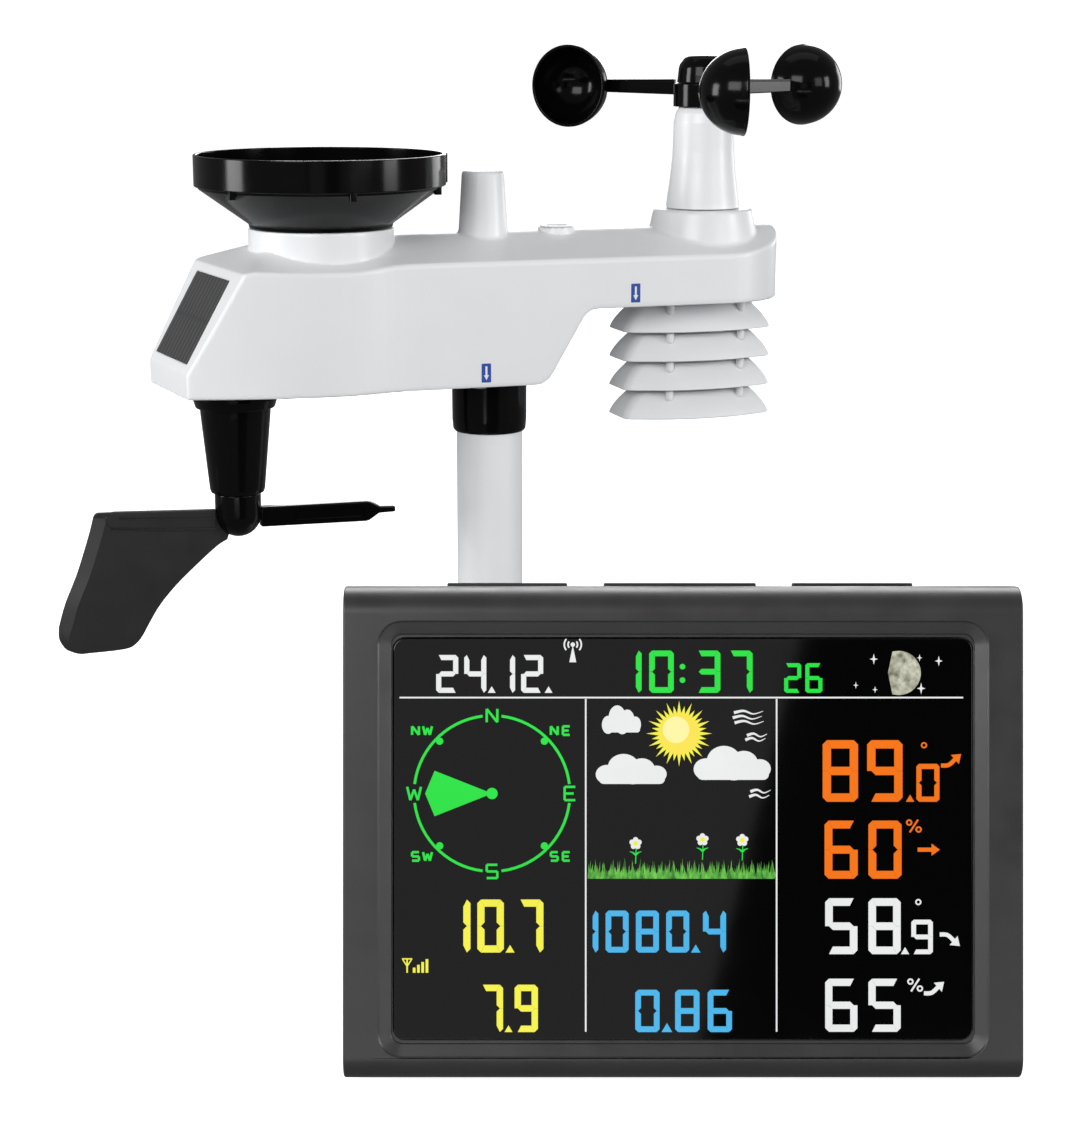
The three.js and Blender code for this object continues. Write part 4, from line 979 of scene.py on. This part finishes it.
def stroke(points, width, taper=False):
    """A line with thickness through points, optionally thinning to its end."""
    p = np.array(points, float)
    run = np.gradient(p, axis=0)
    run /= np.linalg.norm(run, axis=1)[:, None]
    normal = np.stack([-run[:, 1], run[:, 0]], 1)
    thick = width / 2 * (np.linspace(1, 0.15, len(p)) if taper else np.ones(len(p)))[:, None]
    return [tuple(q) for q in [*(p + normal * thick), *(p - normal * thick)[::-1]]]


def straight(a, b, width):
    """A straight bar between two points."""
    return stroke([a, b], width)


def segment(name, w, h, t):
    """One bar of a seven-bar digit in a cell of a width and height, with bars of a thickness."""
    g, half, cut = 0.03, h / 2, 0.5 * t
    vertical = [(0, g + cut), (cut, g), (t, g + t), (t, half - g - t / 2), (t / 2, half - g), (0, half - g)]
    level = [(g + cut, 0), (w - g - cut, 0), (w - g - t, t), (g + t, t)]
    middle = [(g + t / 2, half), (g + t, half + t / 2), (w - g - t, half + t / 2), (w - g - t / 2, half),
              (w - g - t, half - t / 2), (g + t, half - t / 2)]
    return {
        "a": [(x, h - z) for x, z in level],
        "b": [(w - x, h - z) for x, z in vertical],
        "c": [(w - x, z) for x, z in vertical],
        "d": level,
        "e": vertical,
        "f": [(x, h - z) for x, z in vertical],
        "g": middle,
    }[name]


def digits(text, colour, left, low, width, tall, gap=None):
    """A row of seven-bar digits; a point is a small triangle and a colon two squares."""
    thick = tall * 0.135
    gap = gap or width * 0.26
    x = left
    for mark in text:
        if mark == ".":
            ink(colour, [(x - gap * 0.75, low), (x + gap * 0.55, low), (x - gap * 0.1, low + gap * 1.1)])
            x += gap * 0.9
        elif mark == ":":
            for share in (0.3, 0.62):
                ink(colour, circle((x + thick * 0.2, low + tall * share), thick * 0.5, 16))
            x += thick * 1.2 + gap
        else:
            narrow = width - thick if mark == "1" and x == left else 0
            for name in SEGMENTS[mark]:
                shape = segment(name, width, tall, thick)
                ink(colour, [(x + a - narrow, low + b) for a, b in shape])
            x += width - narrow + gap


def cloud(x, z, scale, tall):
    lobes = ((-5.4, 1.6, 2.6), (-1.6, 3.6, 3.6), (2.6, 3.0, 3.0), (6.0, 1.7, 2.3), (0.5, 1.9, 3.0))
    ink("white", *[
        [(p, z + (q - z) * tall) for p, q in circle((x + a * scale, z + b * scale), r * scale, 28)]
        for a, b, r in lobes
    ])
    ink("white", oblong(7.6 * scale, 1.35 * scale, 1.2 * scale, (x + 0.3 * scale, z + 0.5 * scale)))


def sparkle(x, z, size):
    points = []
    for i in range(8):
        radius = size if i % 4 == 0 else size * 0.75 if i % 2 == 0 else size * 0.26
        points.append(bearing((x, z), radius, i / 8))
    ink("white", points)


def flower(x, z):
    ink("green", straight((x, z - 6.4), (x + 0.2, z - 1), 0.3))
    for turn in (-1, 1):
        leaf = [(x, z - 3.6), (x + turn * 0.9, z - 2.9), (x + turn * 1.9, z - 2.6)]
        ink("green", stroke(leaf, 0.7, True))
    for i in range(5):
        a = math.radians(90 + 72 * i)
        ink("white", circle((x + 1.15 * math.cos(a), z + 1.15 * math.sin(a)), 0.85, 18))
    ink("yellow", circle((x, z), 0.8, 18))


def trend(colour, x, z, rise):
    """A curved arrow that rises, falls or runs level."""
    path = [(x - 3.2, z - 0.7 * rise), (x - 0.8, z - 0.6 * rise), (x + 1.2, z + 0.5 * rise)]
    ink(colour, stroke(spline(path, 5), 1.3))
    tip = Vector((path[-1][0] - path[-2][0], path[-1][1] - path[-2][1])).normalized()
    side = Vector((-tip.y, tip.x))
    end = Vector(path[-1])
    ink(colour, [tuple(end + side * 1.9), tuple(end - side * 1.9), tuple(end + tip * 2.6)])


def degree(colour, x, z):
    ink(colour, *ring_arcs((x, z), 0.75, 0.45, ((0, 180), (180, 360))))


def percent(colour, x, z):
    for dx, dz in ((-1.5, 1.1), (1.5, -1.1)):
        ink(colour, *ring_arcs((x + dx, z + dz), 0.75, 0.5, ((0, 180), (180, 360))))
    ink(colour, straight((x - 1.3, z - 2), (x + 1.3, z + 2), 0.55))


def ring_arcs(centre, radius, width, spans):
    """Stretches of a ring, each between two angles in degrees."""
    arcs = []
    for first, last in spans:
        a, b = math.radians(first), math.radians(last)
        steps = max(6, int((last - first) / 5))
        outer = arc(centre, radius + width / 2, a, b, steps)
        arcs.append([*outer, *arc(centre, radius - width / 2, b, a, steps)])
    return arcs


def letter(colour, x, z, size, lines):
    """A letter of a compass dial from straight strokes on a grid of -1 to 1."""
    for line in lines:
        ends = [(x + a * size * 0.8, z + b * size) for a, b in line]
        for pair in zip(ends, ends[1:]):
            ink(colour, straight(*pair, 0.75))


COMPASS = {
    0: [[(-1, -1), (-1, 1), (1, -1), (1, 1)]],
    90: [[(1, 1), (-1, 1), (-1, -1), (1, -1)], [(-1, 0), (0.7, 0)]],
    180: [[(1, 1), (-1, 1), (-1, 0), (1, 0), (1, -1), (-1, -1)]],
    270: [[(-1.3, 1), (-0.7, -1), (0, 0.6), (0.7, -1), (1.3, 1)]],
}


CORNERS = ((45, 0, 90, 30.6), (135, 180, 90, 30.6), (225, 180, 270, 31.6), (315, 0, 270, 31.6))


def draw_compass(x, z, radius):
    gap = 7
    spans = [(90 * i + gap, 90 * i + 90 - gap) for i in range(4)]
    ink("green", *ring_arcs((x, z), radius, 0.85, spans))
    for angle, lines in COMPASS.items():
        letter("green", *bearing((x, z), radius, angle / 360), 2.1, lines)
    for angle, first, second, out in CORNERS:
        middle = x + out * math.sin(math.radians(angle))
        low = z + 28.2 * math.cos(math.radians(angle))
        for turn, name in ((-1.9, first), (1.9, second)):
            letter("green", middle + turn, low, 1.35, COMPASS[name])
        ink("green", circle(bearing((x, z), 0.95 * radius, angle / 360), 1.15, 20))
    ink("green", [(x, z), (x - 18.2, z + 7.2), (x - 21.2, z), (x - 18.2, z - 7.2)])
    ink("green", circle((x, z), 1.8, 24))


SUN = (-1.2, 110)
CLOUDS = ((-19.6, 111.0, 0.76, 1.45), (-16.6, 95.2, 1.38, 0.84), (15.4, 96.6, 1.5, 0.88))
WIND = (
    (20.8, 116.6, 4.6), (20.4, 115, 4.6), (21, 113.4, 4.6), (23.5, 109.4, 3.2), (23, 108, 3.2),
    (24.6, 91.6, 3.2), (24.2, 90, 3.2),
)


def draw_weather():
    for place in CLOUDS:
        cloud(*place)
    rays = []
    for i in range(64):
        radius = (10.4 if i % 4 == 0 else 8.8) if i % 2 == 0 else 6.4
        rays.append(bearing(SUN, radius, i / 64))
    ink("yellow", rays)
    ink("sun", circle(SUN, 6.5, 48))
    ink("glow", circle((-2.2, 111.2), 4.2, 48))
    for x, z, reach in WIND:
        path = [(x - reach, z), (x - reach / 3, z + 0.6), (x + reach / 3, z - 0.4), (x + reach, z + 0.5)]
        ink("white", stroke(spline(path, 4), 0.95, True))
    for x, z in ((-15, 75.2), (6.2, 76.4), (18.8, 76.2)):
        flower(x, z)
    for row in range(3):
        blades = [(29.2, 64), (-30.2, 64)]
        for i in range(70):
            x = -30.2 + 59.4 * (i + 0.3 * row) / 70
            rise = 3.2 + 1.3 * math.sin(i * 2.39 + row) + 0.9 * math.sin(i * 5.1 + 2 * row) - 0.9 * row
            lean = 0.5 * math.sin(i * 1.7 + row)
            blades += [(x, 65.2), (x + 0.3 + lean, 65.6 + max(0.7, rise)), (x + 0.6, 65.2)]
        ink("meadow", blades)


NUMBERS = {
    "clock": (
        ("24.", "white", -78.2, 122.9, 7.0, 12.0, 1.9),
        ("12.", "white", -54.8, 122.9, 7.0, 12.0, 1.9),
        ("10:37", "green", -14.9, 122.9, 7.8, 13.4, 2.4),
        ("26", "green", 32.1, 122.9, 5.4, 9.4, 1.3),
    ),
    "outdoor": (
        ("10.7", "yellow", -69.6, 40.6, 8.4, 16.8),
        ("7.9", "yellow", -64.4, 15.4, 7.4, 15),
    ),
    "pressure and rain": (
        ("1080.4", "blue", -28.6, 40.6, 7.3, 13.3, 2.3),
        ("0.86", "blue", -15.1, 15.4, 7.7, 13.4, 2.6),
    ),
    "climate": (
        ("89", "orange", 44.3, 88.4, 11.2, 19.5, 2.9),
        (".0", "orange", 72.2, 88.4, 7.3, 12.0, 2),
        ("60", "orange", 44.9, 64, 10.5, 18.4, 3.4),
        ("58", "white", 45.1, 40.1, 10.2, 17.7, 3.5),
        (".9", "white", 70.6, 40.1, 6.8, 10.9, 2),
        ("65", "white", 45.1, 15.5, 10.2, 16.8, 3.5),
    ),
}
STARS = (
    (60.5, 133.6, 1.7), (54.8, 125.3, 1.1), (60.9, 123.9, 1.1), (75, 134, 1.1), (81.1, 133, 1.6),
    (75.5, 124.3, 1.8),
)


TRENDS = (
    ("orange", 85, 101, 1.6), ("orange", 77.6, 73.2, 0), ("white", 84.6, 45.2, -1.6),
    ("white", 79.6, 28.8, 1.6),
)


def draw_numbers(group):
    for number in NUMBERS[group]:
        digits(*number)


def draw_signal(x, low):
    """Four rising bars beside a small aerial."""
    for i, tall in enumerate((1.6, 2.5, 3.4, 4.3)):
        left = x + 1.8 + 1.35 * i
        ink("yellow", [(left, low), (left + 0.85, low), (left + 0.85, low + tall), (left, low + tall)])
    ink("yellow", straight((x, low), (x, low + 4.4), 0.5))
    for side in (-1, 1):
        ink("yellow", straight((x, low + 2), (x + side * 1.5, low + 4.4), 0.4))
    ink("yellow", straight((x - 1.6, low + 4.4), (x + 1.6, low + 4.4), 0.4))


def draw_display():
    ink("white", straight((-89.8, 121.4), (88.8, 121.4), 0.5))
    for x in (-30.8, 29.7):
        ink("white", straight((x, 121), (x, 15.5), 0.5))
    draw_numbers("clock")
    for star in STARS:
        sparkle(*star)
    half_disc = arc((68.4, 129.2), 7, math.radians(-90), math.radians(90), 28)
    ink("moon", [*half_disc, (66.4, 136), (65, 129.2), (66.4, 122.4)])
    for radius in (1.5, 2.7):
        ink("white", *ring_arcs((-34.9, 138.2), radius, 0.5, ((-40, 40), (140, 220))))
    ink("white", circle((-34.9, 138.2), 0.7, 16), [(-36, 132.6), (-33.8, 132.6), (-34.9, 138)])
    draw_compass(-60.5, 91, 24.7)
    draw_numbers("outdoor")
    draw_signal(-87.4, 34.2)
    draw_weather()
    draw_numbers("pressure and rain")
    draw_numbers("climate")
    for draw, colour, x, z in (
        (degree, "orange", 76.4, 106.3), (degree, "white", 74.6, 56.6),
        (percent, "orange", 73.2, 80.7), (percent, "white", 73.6, 30.3),
    ):
        draw(colour, x, z)
    for arrow in TRENDS:
        trend(*arrow)

    finishes = {
        "white": lit("lit_white", (0.86, 0.87, 0.87), 0.95),
        "green": lit("lit_green", (0.02, 0.80, 0.06), 0.95),
        "yellow": lit("lit_yellow", (0.93, 0.90, 0.07), 0.95),
        "sun": lit("lit_sun", (0.98, 0.80, 0.09), 0.95),
        "glow": lit("lit_glow", (0.99, 0.90, 0.38), 0.98),
        "blue": lit("lit_blue", (0.07, 0.48, 0.86), 0.95),
        "orange": lit("lit_orange", (0.96, 0.19, 0.012), 0.95),
        "moon": lunar(),
        "meadow": meadow(),
    }
    for colour, shapes in inks.items():
        add(f"display_{colour}", gather(*shapes), CONSOLE, "console", "display", material=finishes[colour])


# ---- studio


def area_light(name, place, target, width, depth, power):
    data = bpy.data.lights.new(name, "AREA")
    data.shape = "RECTANGLE"
    data.size, data.size_y = width, depth
    data.energy = power
    light = bpy.data.objects.new(name, data)
    light.location = place
    light.rotation_euler = (Vector(target) - Vector(place)).to_track_quat("-Z", "Y").to_euler()
    light.visible_camera = False
    bpy.context.scene.collection.objects.link(light)
    return light


def staged(name, bm, material):
    """A part of the studio, not of the weather station."""
    thing = placed(name, bm, material)
    return thing


def make_floor():
    """A pale round sweep that curves up into a wall on every side."""
    bend = [(6 + 3 * math.sin(a), 3 - 3 * math.cos(a)) for a in np.linspace(0, math.pi / 2, 14)]
    bm = bmesh.new()
    spin = [(math.cos(a), math.sin(a)) for a in np.arange(96) * math.pi / 48]
    rows = [
        [bm.verts.new((r * c, r * s, z - 0.0005)) for c, s in spin]
        for r, z in [(1, 0), (3, 0), *bend, (9, 8)]
    ]
    bm.faces.new(rows[0])
    for near, far in zip(rows, rows[1:]):
        for i in range(len(spin)):
            bm.faces.new((near[i - 1], near[i], far[i], far[i - 1]))
    bmesh.ops.recalc_face_normals(bm, faces=bm.faces)
    bmesh.ops.reverse_faces(bm, faces=bm.faces)
    s = Shader("floor_paper", 0.9, specular=0.0)
    paper = s.mix(s.spread(s.noise(3, 2), 0, 1), (0.91, 0.91, 0.91), (0.93, 0.93, 0.93))
    s.to("Base Color", paper)
    s.to("Emission Color", paper)
    s.set("Emission Strength", 0.92)
    sweep = staged("studio_floor", bm, s.material)
    sweep.visible_glossy = sweep.visible_diffuse = False


def make_cards(camera):
    """A pale card and a dark one behind the camera, which the flat screen mirrors."""
    eye = CONSOLE.inverted() @ Vector(camera.location)
    slope = 0.248

    def card(name, far, corners, radiance):
        spread = far / -eye.y
        bm = bmesh.new()
        verts = []
        for x, z in corners:
            mirrored = Vector((x + (x - eye.x) * spread, -far, z + (z - eye.z) * spread))
            verts.append(bm.verts.new(CONSOLE @ mirrored))
        bm.faces.new(verts)
        s = Shader(name, 1.0, specular=0.0)
        s.to("Emission Color", s.mix(s.noise(4), shade((1, 1, 1), 0.96), (1, 1, 1)))
        s.to("Base Color", s.mix(s.noise(4), (0.002, 0.002, 0.002), (0.004, 0.004, 0.004)))
        s.set("Emission Strength", radiance)
        staged(name, bm, s.material).visible_camera = False

    high, low = 170, -12
    edge = [(37.4 + slope * (z - 141), z) for z in (low, high)]
    card("pale_card", 1300, [(-125, low), edge[0], edge[1], (-125, high)], 0.42)
    card("dark_card", 1450, [(-150, -40), (170, -40), (170, 200), (-150, 200)], 0.0)


def make_world():
    world = bpy.data.worlds.new("studio")
    world.use_nodes = True
    world.node_tree.nodes["Background"].inputs["Color"].default_value = (1, 1, 1, 1)
    world.node_tree.nodes["Background"].inputs["Strength"].default_value = 0.2
    bpy.context.scene.world = world
    bpy.context.scene.view_settings.view_transform = "Standard"


CAMERA_AT = (0.021, -1.0563, 0.336)
CAMERA_PITCH = 13
SENSOR_MM = 36
LENS_MM = 76.25772


def make_camera():
    data = bpy.data.cameras.new("camera")
    data.sensor_width = SENSOR_MM
    data.lens = LENS_MM
    data.clip_start = 0.01
    camera = bpy.data.objects.new("camera", data)
    camera.location = CAMERA_AT
    camera.rotation_euler = (math.radians(90 - CAMERA_PITCH), 0, 0)
    bpy.context.scene.collection.objects.link(camera)
    bpy.context.scene.camera = camera
    bpy.context.view_layer.update()
    return camera


HEAD_MIDDLE = (0, 0, 0.22)
LIGHTS = (
    ("key", (-1.0, -2.1, 1.0), HEAD_MIDDLE, 1.3, 0.9, 28.5),
    ("fill", (1.6, -1.9, 0.7), HEAD_MIDDLE, 0.9, 1.0, 11),
    ("left", (-2.2, -0.5, 0.5), HEAD_MIDDLE, 0.7, 1.0, 30),
    ("right", (2.2, -0.8, 0.6), HEAD_MIDDLE, 0.6, 1.0, 21),
    ("top", (0.05, 0.2, 1.8), (0.05, -0.15, 0), 1.8, 0.7, 2),
    ("back", (0.1, 2.3, 0.6), HEAD_MIDDLE, 0.9, 0.9, 10),
    ("back_right", (1.7, 1.8, 0.5), HEAD_MIDDLE, 0.9, 0.9, 10),
    ("low", (0.07, -0.8, 0.004), (0.07, -0.35, 0.02), 0.6, 0.02, 0.3),
)


def make_lights():
    for light in LIGHTS:
        area_light(*light)


def make_sheen():
    """A high light at the back that only the console's case catches, along its rolled top edge."""
    sheen = area_light("sheen", (0.07, 0.7, 1.15), (0.07, -0.33, 0.15), 1.6, 0.9, 26)
    case = bpy.data.collections.new("sheen_case")
    case.objects.link(bpy.data.objects["console_bezel"])
    sheen.light_linking.receiver_collection = case


make_cards(make_camera())
make_world()
make_lights()
make_floor()
make_shell()
make_pictograms()
make_funnel()
make_level()
make_tower()
make_rotor()
make_vane()
make_shield()
make_mast()
make_console()
make_sheen()
draw_display()

bpy.context.view_layer.update()
